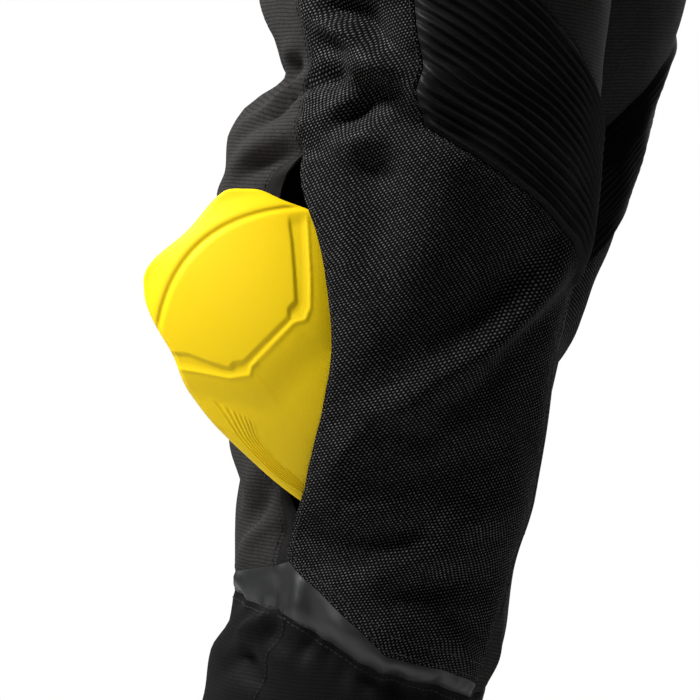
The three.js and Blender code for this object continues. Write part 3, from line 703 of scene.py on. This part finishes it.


# Cloths: pitch across and down in mm, stagger, groove colour (painted shade between the yarns) and
# crown colour (the yarn's colour with a painted highlight), their roughness, unevenness, bump in mm, how
# narrow the crowns are, gloss of the crowns, specular level
CLOTHS = {
    # The coarse weave's pale crowns are painted highlights: the glints of its glossy black yarns
    "coarse_weave": (2.1, 1.6, 0.5, (0.0004, 0.0004, 0.0005), (0.18, 0.18, 0.185), 1.0, 0.6,
                     0.65, 0.5, 5.0, 0.25, 0.08),
    "canvas": (0.75, 2.1, 0.0, (0.002, 0.0018, 0.0017), (0.04, 0.0375, 0.0365), 1.0, 0.85, 0.35,
               0.35, 0.4, 0.0, 0.15),
    # A darker copy of the canvas with weaker lines, painted shade for the lower legs
    "dark_canvas": (0.75, 2.1, 0.0, (0.0008, 0.0008, 0.0008), (0.0025, 0.0024, 0.0024), 1.0, 0.8,
                    0.35, 0.12, 0.4, 0.08, 0.12),
    "stretch": (0.7, 0.6, 0.5, (0.0005, 0.0005, 0.0007), (0.0036, 0.0036, 0.0044), 1.0, 0.7, 0.3,
                0.08, 0.8, 0.3, 0.1),
    "satin": (0.4, 0.4, 0.5, (0.005, 0.0053, 0.0058), (0.009, 0.0095, 0.0105), 0.55, 0.4, 0.2,
              0.03, 0.8, 0.6, 0.35),
    "tape": (0.9, 0.9, 0.0, (0.001, 0.001, 0.001), (0.0035, 0.0035, 0.0035), 0.9, 0.55, 0.2,
             0.1, 0.8, 0.1, 0.2),
}
CLOTH_WEAR = {"Dust": 0.08, "Scale": 16.0, "Dust colour": (0.02, 0.019, 0.018, 1.0)}
COAT_ROUGHNESS = 0.5
# Grained materials: name, colour, colour of the wear, roughness, grain scale, bump in mm,
# metallic, specular level. The foam takes its colour from the settings.
GRAINED = {
    "foam": ("Moulded foam", None, None, 0.55, 1500.0, 0.12, 0.0, 0.2),
    "metal": ("Dark nickel", (0.3, 0.3, 0.31), (0.4, 0.4, 0.4), 0.3, 700.0, 0.02, 1.0, 0.3),
    "thread": ("Sewing thread", (0.025, 0.025, 0.026), (0.04, 0.04, 0.04), 0.55, 2500.0, 0.05,
               0.0, 0.2),
}
GRAINED_WEAR = {"Dust": 0.25, "Scale": 22.0}
FOAM_PALER = 1.03
MATERIALS = {}


def colour(value):
    return (*value, 1.0)


def group_node(tree, group, values):
    node = tree.nodes.new("ShaderNodeGroup")
    node.node_tree = group
    for name, value in values.items():
        node.inputs[name].default_value = value
    return node


def principled(material):
    tree = material.node_tree
    return tree, next(node for node in tree.nodes if node.type == "BSDF_PRINCIPLED")


def new_material(name):
    material = bpy.data.materials.new(name)
    material.use_nodes = True
    return material


def wire(tree, shader, wear, height, bump_mm, specular):
    """Links wear and bump to the shader."""
    bump = add(tree, "ShaderNodeBump", {"Strength": 1.0, "Distance": bump_mm * MM})
    link = tree.links.new
    link(height, bump.inputs["Height"])
    link(wear.outputs["Colour"], shader.inputs["Base Color"])
    link(wear.outputs["Roughness"], shader.inputs["Roughness"])
    link(bump.outputs["Normal"], shader.inputs["Normal"])
    shader.inputs["Specular IOR Level"].default_value = specular


def cloth_material(name, groups):
    (pitch_across, pitch_down, stagger, groove, crown, groove_rough, crown_rough, uneven,
     bump_mm, narrowness, gloss, specular) = CLOTHS[name]
    material = new_material(f"Cloth {name}")
    tree, shader = principled(material)
    # The groove colour is painted shade between the yarns; the crown colour carries a painted highlight
    yarns = group_node(tree, groups["yarns"], {
        "Pitch across": pitch_across * MM, "Pitch down": pitch_down * MM, "Stagger": stagger,
        "Groove colour": colour(groove), "Crown colour": colour(crown),
        "Groove roughness": groove_rough, "Crown roughness": crown_rough, "Unevenness": uneven,
        "Narrowness": narrowness, "Gloss": gloss})
    wear = group_node(tree, groups["wear"], CLOTH_WEAR)
    tree.links.new(yarns.outputs["Colour"], wear.inputs["Colour"])
    tree.links.new(yarns.outputs["Roughness"], wear.inputs["Roughness"])
    wire(tree, shader, wear, yarns.outputs["Height"], bump_mm, specular)
    if gloss:
        tree.links.new(yarns.outputs["Gloss"], shader.inputs["Coat Weight"])
        shader.inputs["Coat Roughness"].default_value = COAT_ROUGHNESS
    return material


def grained_material(name, tone, worn, rough, scale, bump_mm, metallic, specular, groups):
    material = new_material(name)
    tree, shader = principled(material)
    wear = group_node(tree, groups["wear"], {
        **GRAINED_WEAR, "Colour": colour(tone), "Dust colour": colour(worn), "Roughness": rough})
    grain = group_node(tree, groups["grain"], {"Scale": scale})
    wire(tree, shader, wear, grain.outputs["Height"], bump_mm, specular)
    shader.inputs["Metallic"].default_value = metallic
    return material


def make_materials(scene):
    groups = {"yarns": yarn_group(), "wear": wear_group(), "grain": grain_group()}
    for name in CLOTHS:
        MATERIALS[name] = cloth_material(name, groups)
    foam = tuple(scene.trouser_pad.foam_colour)
    paler = tuple(min(1.0, value * FOAM_PALER) for value in foam)
    for name, (title, tone, worn, *values) in GRAINED.items():
        MATERIALS[name] = grained_material(title, tone or foam, worn or paler, *values, groups)


# Settings

def metres(name, description, default):
    return FloatProperty(name=name, description=description, default=default, unit="LENGTH")


class ClothSettings(bpy.types.PropertyGroup):
    wall: metres("Wall", "Thickness of the cloth", 0.0016)
    seam_gap: metres("Seam gap", "Space between two panels at a seam", 0.0002)
    seam_dip: metres("Seam dip", "How far the cloth sinks in at a seam", 0.0009)
    pucker: metres("Pucker", "Height of the ripples beside a seam", 0.00035)


class RibSettings(bpy.types.PropertyGroup):
    ribs: IntProperty(name="Ribs", description="Ribs across a stretch panel", default=16, min=4)
    height: metres("Rib height", "How far a rib stands up", 0.0034)


class PadSettings(bpy.types.PropertyGroup):
    cap_rise: metres("Cap rise", "Height of the cap over the foam", 0.0024)
    groove: metres("Groove", "Depth of the arc across the cap's top", 0.001)
    foam_colour: FloatVectorProperty(name="Foam colour", description="Colour of the moulded foam",
                                     default=(0.9, 0.62, 0.002), subtype="COLOR", min=0, max=1)


class StitchSettings(bpy.types.PropertyGroup):
    spacing: metres("Spacing", "Distance from stitch to stitch", 0.0034)
    length: metres("Length", "Length of one stitch", 0.0026)
    thread: metres("Thread", "Thickness of the thread", 0.0006)


class StageSettings(bpy.types.PropertyGroup):
    floor: metres("Floor", "Height of the floor", -1.05)
    backdrop: FloatProperty(name="Backdrop", description="Brightness of the plain backdrop", default=1.0)
    fill: FloatProperty(name="Fill", description="Brightness of the soft light all round", default=0.022)
    key: FloatProperty(name="Key", description="Power of the large soft light", default=43.0, unit="POWER")


# Pieces

SHELLS = {}
# Share of the full grid that each leg gets: the left one is seen from farther off
FINENESS = {"right": 1.0, "left": 0.75}


def slit_moves(name, leg):
    """How the slit moves a panel: the rear edge lies back and the knee panel stands up."""
    if name in ("back_leg", "pocket_facing"):
        return {"rear": True}
    return {"stands": leg.slit} if name == "knee_panel" else {}


def build_panels(scene):
    for leg in LEGS.values():
        for name, (blocks, slot, *other) in PANELS.items():
            cells = [(low, high, ROW[top], ROW[end]) for low, high, top, end in blocks]
            shell = Shell(leg, cells, scene.trouser_cloth, share=FINENESS[leg.name],
                          **slit_moves(name, leg))
            node = f"{name}_{leg.name}"
            piece = new_object(f"{node}_cloth", shell.points, shell.faces, shell.uv)
            finish_piece(piece, MATERIALS[(other or [slot])[0]], slot, node)
            SHELLS[node] = shell


def build_ribs(scene):
    settings, cloth = scene.trouser_ribs, scene.trouser_cloth
    half = cloth.seam_gap / MM / 2
    gap_i, gap_j = (half + RIBS["room"]) / RIBS["across"], half / RIBS["down"]
    for leg in LEGS.values():
        count_i, per_rib = RIBS["cells"][leg.name]
        count_j = settings.ribs * per_rib
        j, i = (grid.ravel() for grid in np.meshgrid(
            np.linspace(0, 1, count_j + 1), np.linspace(0, 1, count_i + 1), indexing="ij"))
        grid_i = INNER + (STRIP - INNER) * (gap_i + i * (1 - 2 * gap_i))
        down = gap_j + j * (1 - 2 * gap_j)
        grid_j = ROW["ribs_top"] + (ROW["ribs_end"] - ROW["ribs_top"]) * down
        at, normal, angle, z = leg.surface(grid_i, grid_j)
        side = np.minimum(i, 1 - i) * RIBS["across"]
        ends = smooth_step(side, 0, RIBS["fade"]) * (1 - RIBS["ends"]) + RIBS["ends"]
        uneven = 1 + RIBS["uneven"] * soft_noise(at, *RIBS["wave"])
        rise = settings.height / MM * np.sin(np.pi * settings.ribs * j) ** 2 * ends * uneven
        edge = np.minimum(side, np.minimum(j, 1 - j) * RIBS["down"])
        rise -= cloth.seam_dip / MM * np.exp(-(edge / RIM["dip"]) ** 2)
        outer = at + normal * rise[:, None]
        place = np.arange(len(i)).reshape(count_j + 1, count_i + 1)
        points, faces, quads = grid_wall(outer, at - normal * cloth.wall / MM, place, normal)
        uv = leg.grain(angle, z, False)
        node = f"knee_accordion_{leg.name}"
        piece = new_object(f"{node}_cloth", points, faces, np.concatenate([uv, uv]), 80)
        finish_piece(piece, MATERIALS["stretch"], "stretch", node)
        cut_size(outer, quads, place, place.T)


def build_closure(scene):
    settings = scene.trouser_cloth
    over = ON_TOP + settings.wall / MM
    block = (0, 2, ROW["band"], ROW["band"] + 4)
    flap = Shell(LEGS["left"], [block], settings,
                 rise=over + settings.seam_dip / MM + FLAP_ROOM, share=FINENESS["left"])
    piece = new_object("fly_flap_cloth", flap.points, flap.faces, flap.uv)
    finish_piece(piece, MATERIALS["canvas"], "canvas", "fly_flap")
    count, rows = TAB["count"], TAB["rows"]
    down = np.linspace(TAB["low"], TAB["high"], rows + 1)
    outer, normals, uv = [], [], []
    for k in np.linspace(-1, 1, count + 1):
        leg = LEGS["right" if k < 0 else "left"]
        at, normal, _, _ = leg.surface(np.full(rows + 1, abs(k)), down)
        ends = np.minimum(down - TAB["low"], TAB["high"] - down) * TAB["steep"]
        edge = np.minimum(1 - abs(k), ends) * TAB["reach"]
        dip = TAB["dip"] * np.exp(-(edge / TAB["dip_width"]) ** 2)
        outer.append(at + normal * (over - dip)[:, None])
        normals.append(normal)
        uv.append(np.stack([np.full(rows + 1, k * TAB["half"]), down * TAB["band"]], axis=-1))
    outer, normals, uv = (np.concatenate(part) for part in (outer, normals, uv))
    place = np.arange(len(outer)).reshape(count + 1, rows + 1)
    points, faces, _ = grid_wall(outer, outer - normals * (settings.wall / MM), place, normals)
    tab = new_object("waist_tab_cloth", points, faces, np.concatenate([uv, uv]))
    finish_piece(tab, MATERIALS["canvas"], "canvas", "waist_tab")
    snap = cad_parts["waist_snap"]
    snap.data.materials.clear()
    snap.data.materials.append(MATERIALS["metal"])


def cap_height(s, t, arc, rise):
    """Height of the cap over the cup: its top, bevel and the slope below, in mm."""
    past_foot = t - np.interp(s, *zip(*CAP_FOOT))
    past_top = t - np.interp(s, *zip(*CAP_TOP))
    slope = np.clip(1 + past_foot / MOULD["ledge_width"], 0, 1)
    ledge = MOULD["ledge"] + MOULD["ledge_slope"] * slope
    below = MOULD["foot"] * (1 - smooth_step(past_foot, 0, MOULD["foot_end"]))
    cap = np.where(past_foot > 0, below, 1 + (ledge - 1) * smooth_step(past_top, *MOULD["step"]))
    cap += MOULD["ridge"] * np.exp(-(past_foot / MOULD["ridge_width"]) ** 2)
    cap = 1 + (cap - 1) * smooth_step(arc, *MOULD["arc_below"])
    return rise * (cap * smooth_step(arc, *MOULD["arc_above"]) - 1)


def fan_height(s, t):
    """Height of the fan of ribs at the pad's lower edge, in mm."""
    near, far = Curve(FAN, 1)(t), Curve(FAN, 2)(t)
    fan = MOULD["fan_ribs"] * (near - s) / np.maximum(near - far, 1)
    start = t - MOULD["fan_top"] - MOULD["fan_slope"] * (s + MOULD["fan_from"])
    inside = (smooth_step(fan, *MOULD["fan_side"])
              * smooth_step(MOULD["fan_end"] - fan, 0, MOULD["fan_fade"])
              * smooth_step(start, 0, MOULD["fan_start"]))
    return MOULD["fan_rise"] * inside * np.sin(2 * math.pi * fan)


def build_pad(scene):
    settings = scene.trouser_pad
    facing = math.radians(PAD["facing"])
    out = np.array([-math.sin(facing), -math.cos(facing), 0])
    level = np.array([math.cos(facing), -math.sin(facing), 0])
    up = np.array([0, 0, 1.0])
    forward, sideways = unit(level - up), unit(level + up)
    first, last = PAD_OUTLINE[0][0], PAD_OUTLINE[-1][0]
    across, rows = MOULD["across"], MOULD["rows"]
    t, share = (grid.ravel() for grid in np.meshgrid(
        first + (last - first) * np.linspace(0, 1, rows + 1) ** MOULD["crowd_along"],
        np.linspace(0, 1, across + 1) ** MOULD["crowd_across"], indexing="ij"))
    low, high = Curve(PAD_OUTLINE, 1)(t), Curve(PAD_OUTLINE, 2)(t)
    s = low + (high - low) * share
    edge = np.minimum(np.minimum(s - low, high - s), np.minimum(t - first, last - t))
    brow = np.exp(-((s - MOULD["brow_at"]) / MOULD["brow_width"]) ** 2)
    t = t + MOULD["brow"] * brow * (1 - smooth_step(t, first, MOULD["brow_end"]))
    radius = np.where(s > 0, PAD["near_radius"], PAD["far_radius"])
    body = (PAD["depth"] - s * s / (2 * radius)
            - (t - PAD["crown"]) ** 2 / (2 * PAD["length_radius"]))
    rise = settings.cap_rise / MM
    arc = t - (MOULD["arc_top"] + s * s / MOULD["arc_bend"])
    cup = body + cap_height(s, t, arc, rise)
    cup -= settings.groove / MM * np.exp(-(arc / MOULD["arc_width"]) ** 2)
    cup += fan_height(s, t)
    cup -= MOULD["rim"] * np.clip(1 - edge / MOULD["rim_width"], 0, 1) ** 2
    foam = PAD["edge"] + (PAD["foam"] - PAD["edge"]) * smooth_step(edge, 0, PAD["taper"])
    start = level * PAD["level"] + up * PAD["top"]
    flat = start + forward * t[:, None] + sideways * s[:, None]
    place = np.arange(len(t)).reshape(rows + 1, across + 1)
    points, faces, _ = grid_wall(flat + out * cup[:, None],
                                 flat + out * (body - rise - foam)[:, None], place,
                                 np.tile(out, (len(t), 1)))
    pad = new_object("knee_pad_foam", points, faces, None, 50)
    finish_piece(pad, MATERIALS["foam"], "foam", "knee_pad")


def stitch_tree():
    """Stitches along a curve, from their spacing, length and thread."""
    tree = bpy.data.node_groups.new("Stitches along a seam", "GeometryNodeTree")
    socket(tree, "Geometry", "NodeSocketGeometry", "INPUT")
    for name in ("Spacing", "Length", "Thread"):
        socket(tree, name, "NodeSocketFloat", "INPUT", 0.003)
    socket(tree, "Material", "NodeSocketMaterial", "INPUT")
    socket(tree, "Geometry", "NodeSocketGeometry", "OUTPUT")
    inputs = add(tree, "NodeGroupInput").outputs
    outputs = add(tree, "NodeGroupOutput").inputs
    link = tree.links.new
    resample = add(tree, "GeometryNodeResampleCurve", mode="LENGTH")
    link(inputs["Geometry"], resample.inputs["Curve"])
    link(inputs["Spacing"], resample.inputs["Length"])
    bead = add(tree, "GeometryNodeMeshUVSphere", {"Segments": 5, "Rings": 4, "Radius": 0.5})
    shade = add(tree, "GeometryNodeSetShadeSmooth")
    link(bead.outputs["Mesh"], shade.inputs["Geometry"])
    size = add(tree, "ShaderNodeCombineXYZ")
    link(inputs["Thread"], size.inputs[0])
    link(inputs["Thread"], size.inputs[1])
    link(inputs["Length"], size.inputs[2])
    tangent = add(tree, "GeometryNodeInputTangent")
    turn = add(tree, "FunctionNodeAlignRotationToVector", axis="Z")
    link(tangent.outputs[0], turn.inputs["Vector"])
    place = add(tree, "GeometryNodeInstanceOnPoints")
    link(resample.outputs["Curve"], place.inputs["Points"])
    link(shade.outputs["Geometry"], place.inputs["Instance"])
    link(turn.outputs[0], place.inputs["Rotation"])
    link(size.outputs[0], place.inputs["Scale"])
    real = add(tree, "GeometryNodeRealizeInstances")
    link(place.outputs["Instances"], real.inputs["Geometry"])
    paint = add(tree, "GeometryNodeSetMaterial")
    link(real.outputs["Geometry"], paint.inputs["Geometry"])
    link(inputs["Material"], paint.inputs["Material"])
    link(paint.outputs["Geometry"], outputs["Geometry"])
    return tree


# Points along a row of stitches, grid step for its direction, how far it looks for the cloth
# and how high the thread lies, in mm
SEAM = {"points": 160, "step": 0.05, "reach": 12, "lift": 0.12}


def seam_path(leg, name, kind, line, low, high, inset):
    """Points on a panel's outer face, inset mm from one of its edges."""
    where, step = slit_moves(name, leg), SEAM["step"]
    if kind == "row":
        i, j = np.linspace(low, high, SEAM["points"]), np.full(SEAM["points"], float(ROW[line]))
        di, dj = 0, step
    else:
        i, j = np.full(SEAM["points"], float(line)), np.linspace(ROW[low], ROW[high], SEAM["points"])
        di, dj = step, 0
    ahead = leg.surface(i + di, j + dj, **where)[0] - leg.surface(i - di, j - dj, **where)[0]
    cells = inset * 2 / np.linalg.norm(ahead, axis=1)
    i, j = i + di * cells, j + dj * cells
    shell = SHELLS[f"{name}_{leg.name}"]
    if not hasattr(shell, "tree"):
        shell.tree = BVHTree.FromPolygons(shell.outer.tolist(),
                                          [list(map(int, quad)) for quad in shell.quads])
    path = []
    for point, normal in zip(*leg.surface(i, j, **where)[:2]):
        found = shell.tree.find_nearest(Vector(point), SEAM["reach"])
        if found[0] is not None:
            path.append(np.array(found[0]) + normal * SEAM["lift"])
    return np.array(path)


def build_stitches(scene):
    if not SHELLS:
        raise RuntimeError("the panels come before the stitches")
    settings = scene.trouser_stitches
    tree = stitch_tree()
    names = {item.name: item.identifier for item in tree.interface.items_tree
             if item.in_out == "INPUT"}
    for leg in LEGS.values():
        curve = bpy.data.curves.new(f"seam_lines_{leg.name}", "CURVE")
        curve.dimensions = "3D"
        for name, kind, line, low, high, inset in STITCHES:
            path = seam_path(leg, name, kind, line, low, high, inset) * MM
            spline = curve.splines.new("POLY")
            spline.points.add(len(path) - 1)
            spline.points.foreach_set("co", np.c_[path, np.ones(len(path))].ravel())
        source = bpy.data.objects.new(f"seam_lines_{leg.name}", curve)
        scene.collection.objects.link(source)
        modifier = source.modifiers.new("Stitches", "NODES")
        modifier.node_group = tree
        modifier[names["Spacing"]] = settings.spacing
        modifier[names["Length"]] = settings.length
        modifier[names["Thread"]] = settings.thread
        modifier[names["Material"]] = MATERIALS["thread"]
        bpy.context.view_layer.update()
        graph = bpy.context.evaluated_depsgraph_get()
        mesh = bpy.data.meshes.new_from_object(source.evaluated_get(graph))
        source.modifiers.clear()
        bpy.data.objects.remove(source)
        stitches = bpy.data.objects.new(f"stitches_{leg.name}", mesh)
        scene.collection.objects.link(stitches)
        finish_piece(stitches, MATERIALS["thread"], "canvas")


# The stage: pale floor, soft lights and the camera at the photo's angle
PHOTO_ANGLE, KNEE = math.radians(60), (-0.1, 0, -0.62)
FLOOR = {"radius": 2.1, "sides": 96, "tone": 0.72, "roughness": 0.7}
# Lights: metres from the knee towards the camera, to its right and up, size, share of the power
LIGHTS = {
    "key": (0.34, -0.9, 1.05, 0.4, 1.0), "front fill": (0.9, 1.6, 0.3, 0.8, 0.04),
    "far side": (-1.5, 1.2, 0.8, 1.2, 0.4), "rear": (-1.2, -0.9, 1.0, 1.0, 0.18),
}
CAMERA = {"lens": 180.5, "sensor": 36, "clip": 0.1, "back": 2.11, "right": -0.072, "height": -0.6245}


def area_light(name, place, target, size, power):
    light = bpy.data.lights.new(name, "AREA")
    light.shape, light.size, light.energy = "DISK", size, power
    lamp = bpy.data.objects.new(name, light)
    lamp.location = place
    lamp.rotation_euler = (Vector(target) - Vector(place)).to_track_quat("-Z", "Y").to_euler()
    bpy.context.scene.collection.objects.link(lamp)


def build_stage(scene):
    settings = scene.trouser_stage
    mesh = bpy.data.meshes.new("floor")
    turns = np.linspace(0, 2 * math.pi, FLOOR["sides"], endpoint=False)
    ring = [(FLOOR["radius"] * math.cos(turn), FLOOR["radius"] * math.sin(turn), settings.floor)
            for turn in turns]
    mesh.from_pydata(ring, [], [list(range(FLOOR["sides"]))])
    floor = bpy.data.objects.new("floor", mesh)
    scene.collection.objects.link(floor)
    material = new_material("Pale floor")
    shader = principled(material)[1]
    shader.inputs["Base Color"].default_value = colour([FLOOR["tone"]] * 3)
    shader.inputs["Roughness"].default_value = FLOOR["roughness"]
    floor.data.materials.append(material)
    world = bpy.data.worlds.new("Studio")
    scene.world = world
    world.use_nodes = True
    tree = world.node_tree
    tree.nodes.clear()
    seen, lit = (add(tree, "ShaderNodeBackground", {"Color": (1, 1, 1, 1), "Strength": strength})
                 for strength in (settings.backdrop, settings.fill))
    path = add(tree, "ShaderNodeLightPath")
    mix = add(tree, "ShaderNodeMixShader")
    end = add(tree, "ShaderNodeOutputWorld")
    tree.links.new(path.outputs["Is Camera Ray"], mix.inputs[0])
    tree.links.new(lit.outputs[0], mix.inputs[1])
    tree.links.new(seen.outputs[0], mix.inputs[2])
    tree.links.new(mix.outputs[0], end.inputs[0])
    knee, up = Vector(KNEE), Vector((0, 0, 1))
    back = Vector((-math.sin(PHOTO_ANGLE), -math.cos(PHOTO_ANGLE), 0))
    right = Vector((math.cos(PHOTO_ANGLE), -math.sin(PHOTO_ANGLE), 0))
    for name, (near, aside, high, size, share) in LIGHTS.items():
        place = knee + back * near + right * aside + up * high
        area_light(name, place, knee, size, settings.key * share)
    camera = bpy.data.cameras.new("photo view")
    camera.lens, camera.sensor_width = CAMERA["lens"], CAMERA["sensor"]
    camera.clip_start = CAMERA["clip"]
    viewer = bpy.data.objects.new("photo view", camera)
    viewer.location = back * CAMERA["back"] + right * CAMERA["right"] + up * CAMERA["height"]
    viewer.rotation_euler = (-back).to_track_quat("-Z", "Y").to_euler()
    scene.collection.objects.link(viewer)
    scene.camera = viewer
    scene.view_settings.view_transform = "Standard"


class Step:
    """One step of the build, run on the scene"""

    def execute(self, context):
        self.build(context.scene)
        return {"FINISHED"}


class TROUSERS_OT_materials(Step, bpy.types.Operator):
    """Make the cloths, foam, metal and thread"""
    bl_idname, bl_label = "trousers.materials", "Materials"
    build = staticmethod(make_materials)


class TROUSERS_OT_panels(Step, bpy.types.Operator):
    """Build the sewn panels of both legs"""
    bl_idname, bl_label = "trousers.panels", "Sewn panels"
    build = staticmethod(build_panels)


class TROUSERS_OT_ribs(Step, bpy.types.Operator):
    """Build the ribbed stretch panels above the knees"""
    bl_idname, bl_label = "trousers.ribs", "Ribbed panels"
    build = staticmethod(build_ribs)


class TROUSERS_OT_closure(Step, bpy.types.Operator):
    """Build the fly flap and waist tab and finish the snap"""
    bl_idname, bl_label = "trousers.closure", "Waist closure"
    build = staticmethod(build_closure)


class TROUSERS_OT_pad(Step, bpy.types.Operator):
    """Build the foam knee pad"""
    bl_idname, bl_label = "trousers.pad", "Knee pad"
    build = staticmethod(build_pad)


class TROUSERS_OT_stitches(Step, bpy.types.Operator):
    """Sew the rows of stitches along the seams, after the panels"""
    bl_idname, bl_label = "trousers.stitches", "Stitches"
    build = staticmethod(build_stitches)


class TROUSERS_OT_stage(Step, bpy.types.Operator):
    """Set up the pale floor, the soft lights and the camera"""
    bl_idname, bl_label = "trousers.stage", "Stage"
    build = staticmethod(build_stage)


OPERATORS = (TROUSERS_OT_materials, TROUSERS_OT_panels, TROUSERS_OT_ribs, TROUSERS_OT_closure,
             TROUSERS_OT_pad, TROUSERS_OT_stitches, TROUSERS_OT_stage)
SETTINGS = {"trouser_cloth": ClothSettings, "trouser_ribs": RibSettings, "trouser_pad": PadSettings,
            "trouser_stitches": StitchSettings, "trouser_stage": StageSettings}


class TROUSERS_PT_sidebar(bpy.types.Panel):
    """Sizes and steps of the trousers"""
    bl_idname = "TROUSERS_PT_sidebar"
    bl_label = "Trousers"
    bl_space_type = "VIEW_3D"
    bl_region_type = "UI"
    bl_category = "Trousers"

    def draw(self, context):
        for name, kind in SETTINGS.items():
            group = getattr(context.scene, name)
            for key in kind.__annotations__:
                self.layout.prop(group, key)
        for operator in OPERATORS:
            self.layout.operator(operator.bl_idname)


def register():
    for kind in (*SETTINGS.values(), *OPERATORS, TROUSERS_PT_sidebar):
        bpy.utils.register_class(kind)
    for name, kind in SETTINGS.items():
        setattr(bpy.types.Scene, name, PointerProperty(type=kind))


def unregister():
    for name in SETTINGS:
        delattr(bpy.types.Scene, name)
    for kind in reversed((*SETTINGS.values(), *OPERATORS, TROUSERS_PT_sidebar)):
        bpy.utils.unregister_class(kind)


def main():
    register()
    bpy.ops.trousers.materials()
    bpy.ops.trousers.panels()
    bpy.ops.trousers.ribs()
    bpy.ops.trousers.closure()
    bpy.ops.trousers.pad()
    bpy.ops.trousers.stitches()
    bpy.ops.trousers.stage()


if __name__ == "__main__":
    main()
